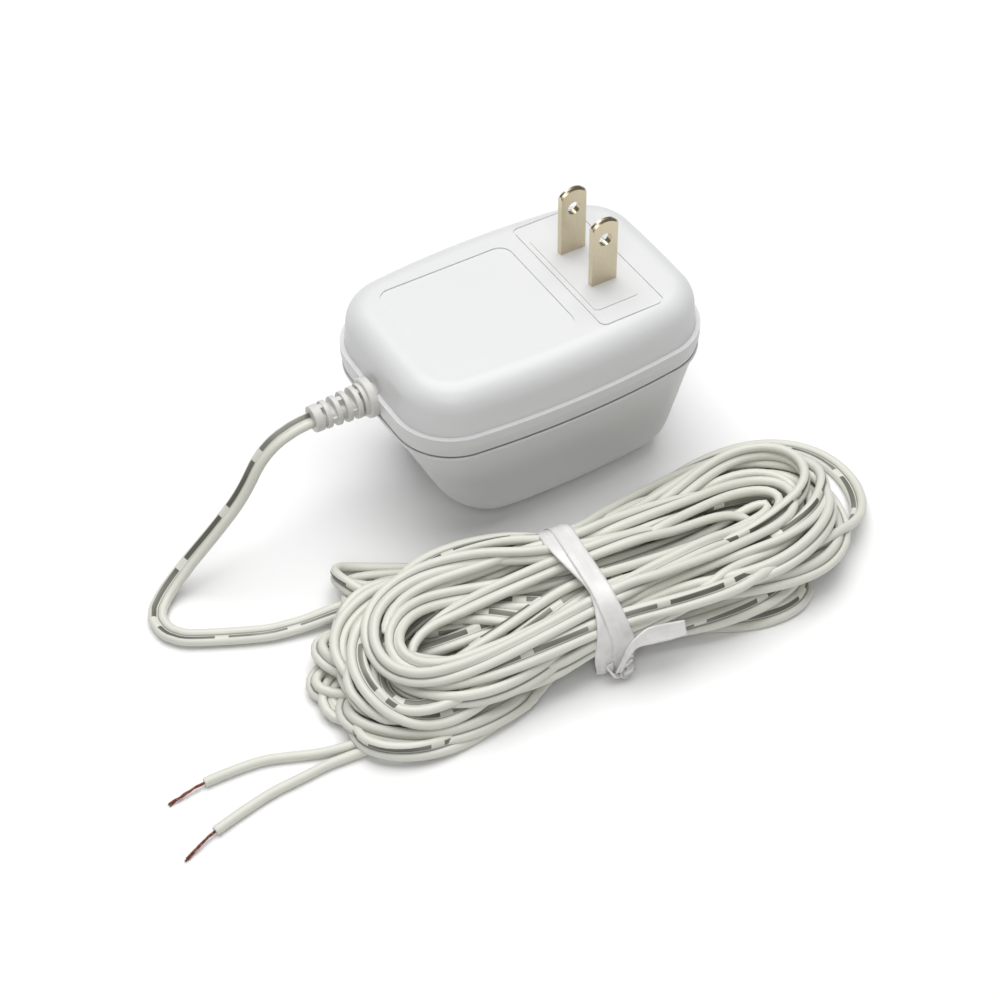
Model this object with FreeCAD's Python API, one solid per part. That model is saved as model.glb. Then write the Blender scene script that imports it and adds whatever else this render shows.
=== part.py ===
import FreeCAD, Part
import math
import os

V = FreeCAD.Vector

# Millimetres. The origin is the middle of the casing's base.
# X runs from the cord's end to the blades' end, Z up through the blades.

# Casing
casing_length = 76.0
casing_width = 52.8
casing_height = 46.0
corner_radius = 14.1
side_bow_radius = 212.0
end_bow_radius = 400.0
wall = 2.2
seam_height = 30.0
seam_gap = 0.3
seam_inset = 0.4
lip_height = 1.1
lip_proud = 0.25
lip_rounding = 0.4
band_height = 5.3
band_slope_height = 2.6
dome_inset = 0.8
dome_draft = 1.4
dome_rounding = 5.6
base_cord_end_inset = 14.0
base_blade_end_inset = 8.3
base_side_inset = 5.2
base_corner_radius = 10.4
base_rounding = 9.4
base_rounding_steps = 4
tongue_height = 1.8
tongue_thickness = 0.9
tongue_clearance = 0.1

# Plug face and label bed
panel_length = 16.6
panel_width = 38.6
panel_corner = 2.0
panel_groove_width = 0.5
panel_groove_depth = 0.3
inner_panel_length = 11.2
inner_panel_width = 28.4
inner_panel_corner = 1.1
inner_panel_shift = -1.0
inner_panel_rise = 0.2
label_length = 33.0
label_width = 31.6
label_corner = 3.2
label_depth = 0.3
label_panel_gap = 3.4

# Blades
blade_offset = 17.1
blade_spacing = 12.7
blade_width = 6.35
blade_thickness = 1.5
blade_reach = 17.3
blade_tip_rise = 1.4
blade_tip_bevel = 0.45
blade_hole_diameter = 3.2
blade_hole_height = 12.1
blade_shoulder = 1.2
blade_shoulder_height = 1.8
blade_tab_width = 4.0
blade_tab_length = 4.4
blade_tab_hole_diameter = 1.6

# Core of E and I sheets, punched without waste: an outer leg, a window, the double middle leg,
# a window and an outer leg share a sheet's length in equal parts
core_end_room = 17.0
core_side_room = 8.9
core_parts = 6
core_stack = 18.0
core_hole_diameter = 3.4
core_height = 19.6
post_radius = 3.2
post_pin_radius = 1.5
post_pin_length = 4.0

# Bobbin and windings
bobbin_fit = 0.2
bobbin_wall = 0.9
flange_thickness = 0.9
flange_clearance = 0.3
flange_floor_gap = 1.7
bobbin_corner = 1.2
primary_share = 0.5
tape_below_flange = 0.7
winding_corner = 3.4
tape_thickness = 0.4
rail_reach = 5.0
rail_height = 3.2
rail_flange_inset = 1.7
rail_core_gap = 0.3
pin_diameter = 1.0
pin_length = 7.6
pin_rail_depth = 2.6
primary_pin_inset = 5.7
secondary_pin_spacing = 12.0
fuse_length = 9.0
fuse_width = 3.8
fuse_height = 2.0
fuse_rounding = 0.5
fuse_lead_diameter = 0.6
fuse_lead_height = 1.0
lead_diameter = 1.4
lead_stub = 2.8
lead_post_gap = 0.1
core_wire_height = 40.0
core_wire_stub = 6.3

# Strain relief, moulded round the cord
relief_height = 33.4
relief_neck_radius = 2.9
relief_hole_clearance = 0.1
relief_disc_radius = 4.6
relief_disc_thickness = 1.8
relief_disc_rounding = 0.45
relief_disc_shoulder = 0.9
relief_inner_radius = 4.3
relief_inner_thickness = 1.8
relief_ring_count = 4
relief_ring_pitch = 2.35
relief_ring_thickness = 1.2
relief_first_radius = 3.7
relief_last_radius = 3.2
relief_collar_radius = 3.05
relief_collar_thickness = 2.1
relief_sheath_width = 4.8
relief_sheath_thickness = 2.9
relief_sheath_rounding = 1.3
relief_rib_thickness = 1.2
relief_edge = 0.25

# Cord: two cores side by side, moulded in one, and split at the far end
core_wire_diameter = 2.1
core_wire_gap = 0.3
cord_diameter = 3.0
strand_diameter = 1.0
strand_length = 9.0

# Hank: for each station along X, the near side, the far side, the underside and the top
tied_waist = (-16.5, -70.2, -37.8, 1.0, 18.6)
hank_stations = [
    (-77.5, -57.0, -42.0, 0.0, 4.0),
    (-71.0, -70.0, -28.0, 0.0, 9.0),
    (-60.0, -74.0, -17.0, 0.0, 11.0),
    (-44.0, -74.5, -24.0, 0.0, 14.0),
    tied_waist,
    (8.0, -72.5, -33.5, 0.0, 16.0),
    (30.0, -74.0, -31.5, 0.0, 12.0),
    (50.0, -65.5, -34.5, 0.0, 8.0),
    (61.0, -55.0, -42.0, 0.0, 4.0),
]
tie_turn = 10.4
tie_width = 4.8
tie_thickness = 0.8
knot_shift = 1.0
knot_length = 5.0
knot_depth = 3.6
knot_height = 6.2
knot_rounding = 0.9
tail_length = 12.0
tail_height = 6.0
tail_width = 3.6

# Free lengths: the share of the shorter run that each bend takes up
bend_share = 0.45

# The cord's route from the strain relief to the hank, after its exit point
lead_points = [
    (-57.4, 0.0, 33.4),
    (-64.6, 0.2, 29.0),
    (-69.8, 0.0, 20.2),
    (-76.4, 0.2, 13.2),
    (-84.6, 0.2, 6.2),
    (-91.9, -1.8, 1.8),
    (-96.4, -6.6, 1.5),
    (-95.1, -13.8, 1.5),
    (-87.4, -18.2, 1.5),
    (-77.4, -23.0, 1.5),
    (-65.3, -26.2, 2.0),
]

# The split cores' routes, from inside the hank's edge to their bared ends
upper_core_points = [
    (-72.8, -59.0, 1.3),
    (-80.6, -57.5, 1.05),
    (-87.1, -54.6, 1.05),
    (-94.5, -51.6, 1.05),
    (-105.2, -51.3, 1.05),
]
lower_core_points = [
    (-72.9, -61.3, 1.3),
    (-80.9, -60.0, 1.05),
    (-87.8, -60.4, 1.05),
    (-96.6, -60.4, 1.05),
    (-108.3, -63.0, 1.05),
]

# What follows from them
half_length = casing_length / 2
half_width = casing_width / 2
core_width = casing_length - 2 * core_end_room
core_depth = casing_width - 2 * core_side_room
slope_top = seam_height + seam_gap + band_slope_height
band_top = seam_height + band_height
base_end_inset = (base_cord_end_inset + base_blade_end_inset) / 2
base_shift = (base_cord_end_inset - base_blade_end_inset) / 2
inside_top = casing_height - wall
core_yoke = core_width / core_parts
core_leg = 2 * core_yoke
core_hole_inset = core_yoke / 2
window_width = (core_width - core_leg - 2 * core_yoke) / 2
window_length = core_depth - 2 * core_yoke
core_top = core_height + core_stack / 2
core_bottom = core_height - core_stack / 2
tube_half_x = core_leg / 2 + bobbin_fit + bobbin_wall
tube_half_z = core_stack / 2 + bobbin_fit + bobbin_wall
flange_half_x = core_leg / 2 + window_width - flange_clearance
flange_half_z = core_height - wall - flange_floor_gap
bobbin_half_y = window_length / 2 - flange_clearance
chamber_length = 2 * bobbin_half_y - 3 * flange_thickness
primary_length = chamber_length * primary_share
divider_y = bobbin_half_y - flange_thickness - primary_length
tape_half_x = flange_half_x - tape_below_flange
tape_half_z = flange_half_z - tape_below_flange
tape_top = core_height + tape_half_z
rail_half_length = flange_half_x - rail_flange_inset
primary_pin_x = flange_half_x - primary_pin_inset
rail_bottom = core_top + rail_core_gap
rail_top = rail_bottom + rail_height
pin_y = bobbin_half_y + rail_reach / 2
pin_top = rail_top - pin_rail_depth + pin_length
blade_bottom = inside_top - blade_shoulder_height - blade_tab_length
label_offset = blade_offset - panel_length / 2 - label_panel_gap - label_length / 2
relief_face = -half_length
relief_hole_radius = relief_neck_radius + relief_hole_clearance
relief_inner_end = relief_face + wall + relief_inner_thickness
relief_first_ring = relief_face - relief_disc_thickness - relief_disc_shoulder - relief_ring_pitch / 2
relief_collar_start = relief_first_ring - relief_ring_pitch * (relief_ring_count - 0.5)
relief_end = relief_collar_start - relief_collar_thickness


def box(x0, x1, y0, y1, z0, z1):
    return Part.makeBox(x1 - x0, y1 - y0, z1 - z0, V(x0, y0, z0))


def centred_box(size_x, size_y, z0, z1, x=0.0, y=0.0):
    return box(x - size_x / 2, x + size_x / 2, y - size_y / 2, y + size_y / 2, z0, z1)


def rounded_box(size_x, size_y, z0, z1, corner, x=0.0, y=0.0):
    block = centred_box(size_x, size_y, z0, z1, x, y)
    upright = [edge for edge in block.Edges if abs(edge.tangentAt(0).z) > 0.9]
    return block.makeFillet(corner, upright)


def save(node, shape):
    if not shape.isValid():
        raise ValueError(node + " is not a valid solid")
    shape.exportStep("parts/" + node + ".step")
    print(node, len(shape.Solids), "solid", round(shape.Volume, 1), "mm3")


def plan_outline(side_inset, end_inset, corner, z, shift=0.0):
    """The casing's outline at one height: four bowed sides and four corner arcs."""
    length, width = half_length - end_inset, half_width - side_inset
    side_radius, end_radius = side_bow_radius - side_inset, end_bow_radius - end_inset
    side_centre, end_centre = V(0, width - side_radius, 0), V(length - end_radius, 0, 0)
    to_side, to_end = side_radius - corner, end_radius - corner
    between = end_centre - side_centre
    span = between.Length
    along = (to_side**2 - to_end**2 + span**2) / (2 * span)
    across = math.sqrt(to_side**2 - along**2)
    ahead = between / span
    corner_centre = side_centre + ahead * along + V(ahead.y, -ahead.x, 0) * across
    side_end = side_centre + (corner_centre - side_centre) * (side_radius / to_side)
    end_end = end_centre + (corner_centre - end_centre) * (end_radius / to_end)
    halfway = (side_end + end_end) / 2 - corner_centre
    halfway = corner_centre + halfway * (corner / halfway.Length)

    def at(point, sign_x, sign_y):
        return V(point.x * sign_x + shift, point.y * sign_y, z)

    edges = []
    for sign_x, sign_y in ((1, 1), (-1, 1), (-1, -1), (1, -1)):
        first, last = (end_end, side_end) if sign_x * sign_y > 0 else (side_end, end_end)
        start, bend, end = [at(point, sign_x, sign_y) for point in (first, halfway, last)]
        edges.append(Part.Arc(start, bend, end))
        if sign_x * sign_y > 0:
            edges.append(Part.Arc(end, at(V(0, width, 0), sign_x, sign_y), at(last, -sign_x, sign_y)))
        else:
            edges.append(Part.Arc(end, at(V(length, 0, 0), sign_x, sign_y), at(last, sign_x, -sign_y)))
    return Part.Wire([edge.toShape() for edge in edges])


def level(inset, z):
    """The casing's outline drawn in evenly."""
    return plan_outline(inset, inset, corner_radius - inset, z)


def slab(*outlines):
    """A solid between outlines that lie one above the other."""
    return Part.makeLoft(list(outlines), True, True)


def level_edges(shape, z):
    """The outer edges of a shape that lie at one height."""
    return [edge for edge in shape.Edges if all(abs(vertex.Z - z) < 1e-4 for vertex in edge.Vertexes)]


def back_form(inset):
    """The back half's form, drawn in by inset. Its cord end slopes more than its blade end."""
    rounding = base_rounding - inset

    def outline(drawn_in, z):
        share = z / seam_height

        def mix(at_base, at_seam):
            return at_base * (1 - share) + at_seam * share + drawn_in

        corner = mix(base_corner_radius, corner_radius) - 2 * drawn_in
        return plan_outline(mix(base_side_inset, seam_inset), mix(base_end_inset, seam_inset), corner, z,
                            base_shift * (1 - share))

    outlines = []
    for step in range(base_rounding_steps + 1):
        angle = math.pi / 2 * step / base_rounding_steps
        drawn_in = inset + rounding * (1 - math.sin(angle))
        outlines.append(outline(drawn_in, inset + rounding * (1 - math.cos(angle))))
    foot = Part.makeLoft(outlines, True, False)
    return foot.fuse(slab(outlines[-1], outline(inset, seam_height)))


def dome_form(inset, bottom):
    """The front half's domed part, drawn in by inset, from a height upwards."""
    top = casing_height - inset
    form = slab(level(dome_inset + inset, bottom), level(dome_inset + dome_draft + inset, top))
    return form.makeFillet(dome_rounding - inset, level_edges(form, top))


def relief_axis_cylinder(radius, x0, x1):
    return Part.makeCylinder(radius, x1 - x0, V(x0, 0, relief_height), V(1, 0, 0))


def make_front_shell():
    """The half that carries the blades: a domed top over a proud band."""
    bottom = seam_height + seam_gap
    slope = slab(level(seam_inset, bottom), level(0, slope_top))
    band = slab(level(0, slope_top), level(0, band_top))
    shell = slope.fuse(band).fuse(dome_form(0, slope_top)).removeSplitter()
    shell = shell.cut(dome_form(wall, bottom))
    rebate_inset = seam_inset + wall - tongue_thickness - tongue_clearance
    shell = shell.cut(slab(level(rebate_inset, bottom), level(rebate_inset, seam_height + tongue_height)))
    for x, y in post_places():
        shell = shell.fuse(Part.makeCylinder(post_radius, inside_top - core_top + wall / 2, V(x, y, core_top)))
    shell = cut_plug_face(shell.cut(room_round_tabs()))
    for side in (-1, 1):
        slot = centred_box(blade_width, blade_thickness, inside_top - wall, casing_height + wall,
                           blade_offset, side * blade_spacing / 2)
        shell = shell.cut(slot)
    below = box(relief_face - wall, relief_face + 2 * wall, -relief_hole_radius, relief_hole_radius,
                seam_height, relief_height)
    return shell.cut(relief_opening().fuse(below)).removeSplitter()


def room_round_tabs():
    """What the posts leave free round the blades' tabs and the leads on them."""
    reach = blade_spacing + blade_thickness + 2 * (lead_stub + lead_diameter / 2 + lead_post_gap)
    return centred_box(blade_width + 2 * (blade_shoulder + lead_post_gap), reach,
                       blade_bottom - lead_post_gap, inside_top, blade_offset)


def cut_plug_face(shell):
    """The grooved panel round the blades, its raised inner panel and the label bed."""
    top, above = casing_height, casing_height + wall
    groove = rounded_box(panel_length, panel_width, top - panel_groove_depth, above, panel_corner, blade_offset)
    island = rounded_box(panel_length - 2 * panel_groove_width, panel_width - 2 * panel_groove_width,
                         top - wall, above, panel_corner - panel_groove_width, blade_offset)
    shell = shell.cut(groove.cut(island))
    raised = rounded_box(inner_panel_length, inner_panel_width, top - wall / 2, top + inner_panel_rise,
                         inner_panel_corner, blade_offset + inner_panel_shift)
    bed = rounded_box(label_length, label_width, top - label_depth, above, label_corner, label_offset)
    return shell.fuse(raised).cut(bed)


def relief_opening():
    """The round hole that the strain relief's neck fills, and the pocket for its inner flange."""
    hole = relief_axis_cylinder(relief_hole_radius, relief_face - wall, relief_face + 2 * wall)
    pocket = relief_axis_cylinder(relief_inner_radius + relief_hole_clearance, relief_face + wall,
                                  relief_inner_end + relief_hole_clearance)
    return hole.fuse(pocket)


def post_places():
    x, y = core_width / 2 - core_hole_inset, core_depth / 2 - core_hole_inset
    return [(x, y), (-x, y), (-x, -y), (x, -y)]


def make_back_shell():
    """The tapered half that the casing stands on, with the posts for the core."""
    outer = back_form(0)
    lip_bottom = seam_height - lip_height
    lip = slab(level(seam_inset - lip_proud, lip_bottom), level(seam_inset - lip_proud, seam_height))
    lip = lip.makeFillet(lip_rounding, level_edges(lip, seam_height) + level_edges(lip, lip_bottom))
    shell = outer.fuse(lip).cut(back_form(wall))
    tongue_top, tongue_bottom = seam_height + tongue_height, seam_height - wall
    outside, inside = seam_inset + wall - tongue_thickness, seam_inset + wall
    tongue = slab(level(outside, tongue_bottom), level(outside, tongue_top))
    shell = shell.fuse(tongue.cut(slab(level(inside, tongue_bottom), level(inside, tongue_top))))
    for x, y in post_places():
        post = Part.makeCylinder(post_radius, core_bottom, V(x, y, 0)).common(outer)
        pin = Part.makeCylinder(post_pin_radius, post_pin_length, V(x, y, core_bottom))
        shell = shell.fuse(post.fuse(pin))
    return shell.cut(relief_opening()).removeSplitter()


def make_blade(side):
    """One flat blade with an arched tip, a hole, and a shouldered tab inside."""
    middle_y = side * blade_spacing / 2
    y = middle_y - blade_thickness / 2
    left, right = blade_offset - blade_width / 2, blade_offset + blade_width / 2
    tip_z = casing_height + blade_reach
    corner_z = tip_z - blade_tip_rise
    foot_left, foot_right = V(left, y, inside_top), V(right, y, inside_top)
    tip_left, tip_right = V(left, y, corner_z), V(right, y, corner_z)
    outline = Part.Wire([
        Part.LineSegment(foot_left, tip_left).toShape(),
        Part.Arc(tip_left, V(blade_offset, y, tip_z), tip_right).toShape(),
        Part.LineSegment(tip_right, foot_right).toShape(),
        Part.LineSegment(foot_right, foot_left).toShape(),
    ])
    blade = Part.Face(outline).extrude(V(0, blade_thickness, 0))
    tip = [edge for edge in blade.Edges if edge.Curve.TypeId == "Part::GeomCircle"]
    blade = blade.makeChamfer(blade_tip_bevel, tip)
    shoulder_bottom = inside_top - blade_shoulder_height
    shoulder = centred_box(blade_width + 2 * blade_shoulder, blade_thickness, shoulder_bottom, inside_top,
                           blade_offset, middle_y)
    tab = centred_box(blade_tab_width, blade_thickness, blade_bottom, shoulder_bottom, blade_offset, middle_y)
    blade = blade.fuse(shoulder).fuse(tab).removeSplitter()
    for diameter, z in ((blade_hole_diameter, casing_height + blade_hole_height),
                        (blade_tab_hole_diameter, blade_bottom + blade_tab_length / 2)):
        blade = blade.cut(Part.makeCylinder(diameter / 2, blade_thickness, V(blade_offset, y, z), V(0, 1, 0)))
    return blade


def core_holes():
    radius = core_hole_diameter / 2
    feet = [V(x, y, core_bottom) for x, y in post_places()]
    return Part.makeCompound([Part.makeCylinder(radius, core_stack, foot) for foot in feet])


def make_core_e():
    """The stack of E sheets, its back towards the cord's side of the casing."""
    joint_y = core_depth / 2 - core_yoke
    block = box(-core_width / 2, core_width / 2, -core_depth / 2, joint_y, core_bottom, core_top)
    for side in (-1, 1):
        x = side * (core_leg + window_width) / 2
        y = joint_y - window_length / 2
        block = block.cut(centred_box(window_width, window_length, core_bottom, core_top, x, y))
    return block.cut(core_holes())


def make_core_i():
    """The stack of I sheets that closes the core."""
    joint_y = core_depth / 2 - core_yoke
    block = box(-core_width / 2, core_width / 2, joint_y, core_depth / 2, core_bottom, core_top)
    return block.cut(core_holes())


def sleeve(inner_x, inner_z, outer_x, outer_z, y0, y1, corner):
    """A rectangular ring round the core's middle leg, from y0 to y1."""
    outer = box(-outer_x, outer_x, y0, y1, core_height - outer_z, core_height + outer_z)
    along = [edge for edge in outer.Edges if abs(edge.tangentAt(0).y) > 0.9]
    outer = outer.makeFillet(corner, along)
    return outer.cut(box(-inner_x, inner_x, y0 - 1, y1 + 1, core_height - inner_z, core_height + inner_z))


def make_bobbin():
    """A tube with two end flanges, a divider and a pin rail at each end."""
    inner_x, inner_z = core_leg / 2 + bobbin_fit, core_stack / 2 + bobbin_fit
    bobbin = box(-tube_half_x, tube_half_x, -bobbin_half_y, bobbin_half_y,
                 core_height - tube_half_z, core_height + tube_half_z)
    for start in (-bobbin_half_y, divider_y - flange_thickness, bobbin_half_y - flange_thickness):
        bobbin = bobbin.fuse(sleeve(inner_x, inner_z, flange_half_x, flange_half_z,
                                    start, start + flange_thickness, bobbin_corner))
    for side in (-1, 1):
        near, far = side * (bobbin_half_y - flange_thickness), side * (bobbin_half_y + rail_reach)
        rail = box(-rail_half_length, rail_half_length, min(near, far), max(near, far), rail_bottom, rail_top)
        bobbin = bobbin.fuse(rail)
    bore = box(-inner_x, inner_x, -core_depth, core_depth, core_height - inner_z, core_height + inner_z)
    bobbin = bobbin.cut(bore)
    for pin in primary_pin_places() + secondary_pin_places():
        bobbin = bobbin.cut(make_pin(pin))
    return bobbin.removeSplitter()


def make_winding(y0, y1):
    return sleeve(tube_half_x, tube_half_z, tape_half_x - tape_thickness, tape_half_z - tape_thickness,
                  y0, y1, winding_corner)


def make_tape(y0, y1):
    outer = sleeve(tube_half_x, tube_half_z, tape_half_x, tape_half_z, y0, y1, winding_corner + tape_thickness)
    return outer.cut(make_winding(y0, y1))


def primary_pin_places():
    return [(-primary_pin_x, pin_y), (primary_pin_x, pin_y)]


def secondary_pin_places():
    return [(-secondary_pin_spacing / 2, -pin_y), (secondary_pin_spacing / 2, -pin_y)]


def make_pin(place):
    return Part.makeCylinder(pin_diameter / 2, pin_length, V(place[0], place[1], rail_top - pin_rail_depth))


def make_fuse():
    """The thermal cut-out on the primary's tape, its leads run to the feet of the pins."""
    y = divider_y + primary_length / 2
    fuse = centred_box(fuse_length, fuse_width, tape_top, tape_top + fuse_height, 0, y)
    fuse = fuse.makeFillet(fuse_rounding, [edge for edge in fuse.Edges if abs(edge.tangentAt(0).x) > 0.9])
    lead_z = tape_top + fuse_lead_height
    for x, foot_y in primary_pin_places():
        side = math.copysign(1, x)
        start = V(side * fuse_length / 2, y, lead_z)
        reach = x - side * (pin_diameter + fuse_lead_diameter) / 2
        bend = V((reach + start.x) / 2, y, lead_z)
        fuse = fuse.fuse(bent_tube([start, bend, V(reach, foot_y, lead_z)], fuse_lead_diameter)[0])
    return fuse


def bent_path(points):
    """Straight runs joined by tangent arcs. Returns the wire and the arcs' radii."""
    edges, radii, start = [], [], points[0]
    for before, corner, after in zip(points, points[1:], points[2:]):
        back, ahead = before - corner, after - corner
        setback = bend_share * min(back.Length, ahead.Length)
        turn = math.pi - back.getAngle(ahead)
        radius = setback / math.tan(turn / 2)
        first = corner + back * (setback / back.Length)
        last = corner + ahead * (setback / ahead.Length)
        inward = (first + last) / 2 - corner
        middle = corner + inward * ((radius / math.cos(turn / 2) - radius) / inward.Length)
        edges.append(Part.LineSegment(start, first).toShape())
        edges.append(Part.Arc(first, middle, last).toShape())
        radii.append(radius)
        start = last
    edges.append(Part.LineSegment(start, points[-1]).toShape())
    return Part.Wire(edges), radii


def bent_tube(points, diameter):
    """A round tube along such a path. Returns the tube, the path's length and its radii."""
    path, radii = bent_path(points)
    section = Part.Wire([Part.makeCircle(diameter / 2, points[0], points[1] - points[0])])
    return path.makePipeShell([section], True, True), path.Length, radii


def make_cord(name, points, diameter):
    """A free length of cord. Prints its length, its radii and its volume against its length."""
    tube, length, radii = bent_tube([V(*point) for point in points], diameter)
    ratio = tube.Volume / (math.pi * diameter**2 / 4 * length)
    print(name, "length", round(length, 1), "radii", [round(radius, 1) for radius in radii],
          "volume ratio", round(ratio, 4))
    return tube


def make_primary_lead(side):
    """An insulated lead from a blade's tab to the top of a primary pin."""
    face = side * blade_spacing / 2 + blade_thickness / 2
    x, y = primary_pin_places()[1 if side > 0 else 0]
    height = blade_bottom + blade_tab_length / 2 + blade_tab_hole_diameter
    points = [
        V(blade_offset, face, height),
        V(blade_offset, face + lead_stub, height),
        V(x, y, height),
        V(x, y, pin_top),
    ]
    return bent_tube(points, lead_diameter)[0]


def make_core_wire(side):
    """One insulated core of the cord, from the strain relief to a secondary pin."""
    x, y = secondary_pin_places()[1 if side > 0 else 0]
    apart = core_wire_diameter + core_wire_gap
    height = core_wire_height - (0 if side > 0 else core_wire_diameter)
    points = [
        V(relief_inner_end, side * apart / 2, relief_height),
        V(relief_inner_end + core_wire_stub, side * apart / 2, relief_height),
        V(-core_width / 2, side * apart, (relief_height + height) / 2),
        V(-flange_half_x, side * apart - core_wire_diameter, height),
        V(x, y, height),
        V(x, y, pin_top),
    ]
    return bent_tube(points, core_wire_diameter)[0]


def make_strain_relief():
    """A disc against the casing, slotted rings and a collar, on a flat sheath."""
    outer_face = relief_face - relief_disc_thickness
    relief = relief_axis_cylinder(relief_neck_radius, relief_face, relief_face + wall)
    relief = relief.fuse(relief_axis_cylinder(relief_inner_radius, relief_face + wall, relief_inner_end))
    disc = relief_axis_cylinder(relief_disc_radius, outer_face, relief_face)
    relief = relief.fuse(disc.makeFillet(relief_disc_rounding, round_edges(disc, outer_face)))
    shoulder = relief_axis_cylinder(relief_first_radius, outer_face - relief_disc_shoulder, outer_face)
    relief = relief.fuse(shoulder)
    sheath = box(relief_end, relief_face, -relief_sheath_width / 2, relief_sheath_width / 2,
                 relief_height - relief_sheath_thickness / 2, relief_height + relief_sheath_thickness / 2)
    along = [edge for edge in sheath.Edges if abs(edge.tangentAt(0).x) > 0.9]
    relief = relief.fuse(sheath.makeFillet(relief_sheath_rounding, along))
    for index in range(relief_ring_count):
        share = index / (relief_ring_count - 1)
        radius = relief_first_radius + (relief_last_radius - relief_first_radius) * share
        x0 = relief_first_ring - relief_ring_pitch * index - relief_ring_thickness / 2
        relief = relief.fuse(soft_ring(radius, x0, x0 + relief_ring_thickness))
    relief = relief.fuse(soft_ring(relief_collar_radius, relief_end, relief_collar_start))
    for index in range(relief_ring_count + 1):
        x0 = relief_first_ring - relief_ring_pitch * index
        relief = relief.fuse(bridges(x0, x0 + relief_ring_pitch, upright=index % 2 == 0))
    return relief.removeSplitter()


def round_edges(cylinder, x):
    """The round edges of a cylinder along X that lie at one place."""
    return [edge for edge in cylinder.Edges if edge.Closed and abs(edge.CenterOfMass.x - x) < 1e-4]


def soft_ring(radius, x0, x1):
    ring = relief_axis_cylinder(radius, x0, x1)
    return ring.makeFillet(relief_edge, round_edges(ring, x0) + round_edges(ring, x1))


def bridges(x0, x1, upright):
    """The two ribs that join one ring to the next, upright or level in turn."""
    reach = relief_last_radius - relief_edge
    half = relief_rib_thickness / 2
    if upright:
        return box(x0, x1, -half, half, relief_height - reach, relief_height + reach)
    return box(x0, x1, -reach, reach, relief_height - half, relief_height + half)


def hank_section(station, grow):
    """An upright ellipse round the hank's turns at one station."""
    x, near, far, low, high = station
    centre = V(x, (near + far) / 2, (low + high) / 2)
    across, up = V(0, (far - near) / 2 + grow, 0), V(0, 0, (high - low) / 2 + grow)
    longer, shorter = (across, up) if across.Length >= up.Length else (up, across)
    return Part.Wire([Part.Ellipse(centre + longer, centre + shorter, centre).toShape()])


def hank_form(grow):
    """The outer shape of the tied hank, waisted where the tie goes round it."""
    return Part.makeLoft([hank_section(station, grow) for station in hank_stations], True, False)


def make_tie(hank):
    """A flat strap round the hank's waist, its knot and its loose tail."""
    x, near, far, low, high = tied_waist
    slice_round_waist = box(x - tie_width / 2, x + tie_width / 2, 2 * near - far, 2 * far - near, 0, 2 * high)
    knot_x, knot_y = x + knot_shift, near - tie_thickness
    knot = centred_box(knot_length, knot_depth, low, low + knot_height, knot_x, knot_y)
    knot = knot.makeFillet(knot_rounding, knot.Edges)
    tail = box(knot_x, knot_x + knot_length / 2 + tail_length, knot_y - tie_thickness, knot_y,
               tail_height, tail_height + tail_width)
    for piece in (slice_round_waist, knot, tail):
        piece.rotate(V(x, (near + far) / 2, 0), V(0, 0, 1), -tie_turn)
    strap = hank_form(tie_thickness).common(slice_round_waist)
    return strap.fuse(knot).fuse(tail).cut(hank).removeSplitter()


def make_strands(points):
    """The bared copper strands, on in line from the end of a split core."""
    before, end = V(*points[-2]), V(*points[-1])
    return Part.makeCylinder(strand_diameter / 2, strand_length, end, end - before)


def build():
    os.makedirs("parts", exist_ok=True)
    save("front_shell", make_front_shell())
    save("back_shell", make_back_shell())
    save("blade_left", make_blade(1))
    save("blade_right", make_blade(-1))
    save("core_e_laminations", make_core_e())
    save("core_i_laminations", make_core_i())
    save("bobbin", make_bobbin())
    primary = (divider_y, bobbin_half_y - flange_thickness)
    secondary = (flange_thickness - bobbin_half_y, divider_y - flange_thickness)
    save("primary_winding", make_winding(*primary))
    save("secondary_winding", make_winding(*secondary))
    save("primary_tape", make_tape(*primary))
    save("secondary_tape", make_tape(*secondary))
    save("primary_pins", Part.makeCompound([make_pin(place) for place in primary_pin_places()]))
    save("secondary_pins", Part.makeCompound([make_pin(place) for place in secondary_pin_places()]))
    save("thermal_fuse", make_fuse())
    save("primary_lead_left", make_primary_lead(1))
    save("primary_lead_right", make_primary_lead(-1))
    save("core_wire_left", make_core_wire(1))
    save("core_wire_right", make_core_wire(-1))
    save("strain_relief", make_strain_relief())
    hank = hank_form(0)
    save("cord_hank", hank)
    save("hank_tie", make_tie(hank))
    cord_points = [(relief_end, 0, relief_height)] + lead_points
    save("cord_lead", make_cord("cord_lead", cord_points, cord_diameter).cut(hank))
    save("wire_end_upper", make_cord("wire_end_upper", upper_core_points, core_wire_diameter).cut(hank))
    save("wire_end_lower", make_cord("wire_end_lower", lower_core_points, core_wire_diameter).cut(hank))
    save("strands_upper", make_strands(upper_core_points))
    save("strands_lower", make_strands(lower_core_points))


build()
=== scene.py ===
import math

import bpy
import numpy as np
from mathutils import Matrix, Vector
from mathutils.geometry import convex_hull_2d


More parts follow.
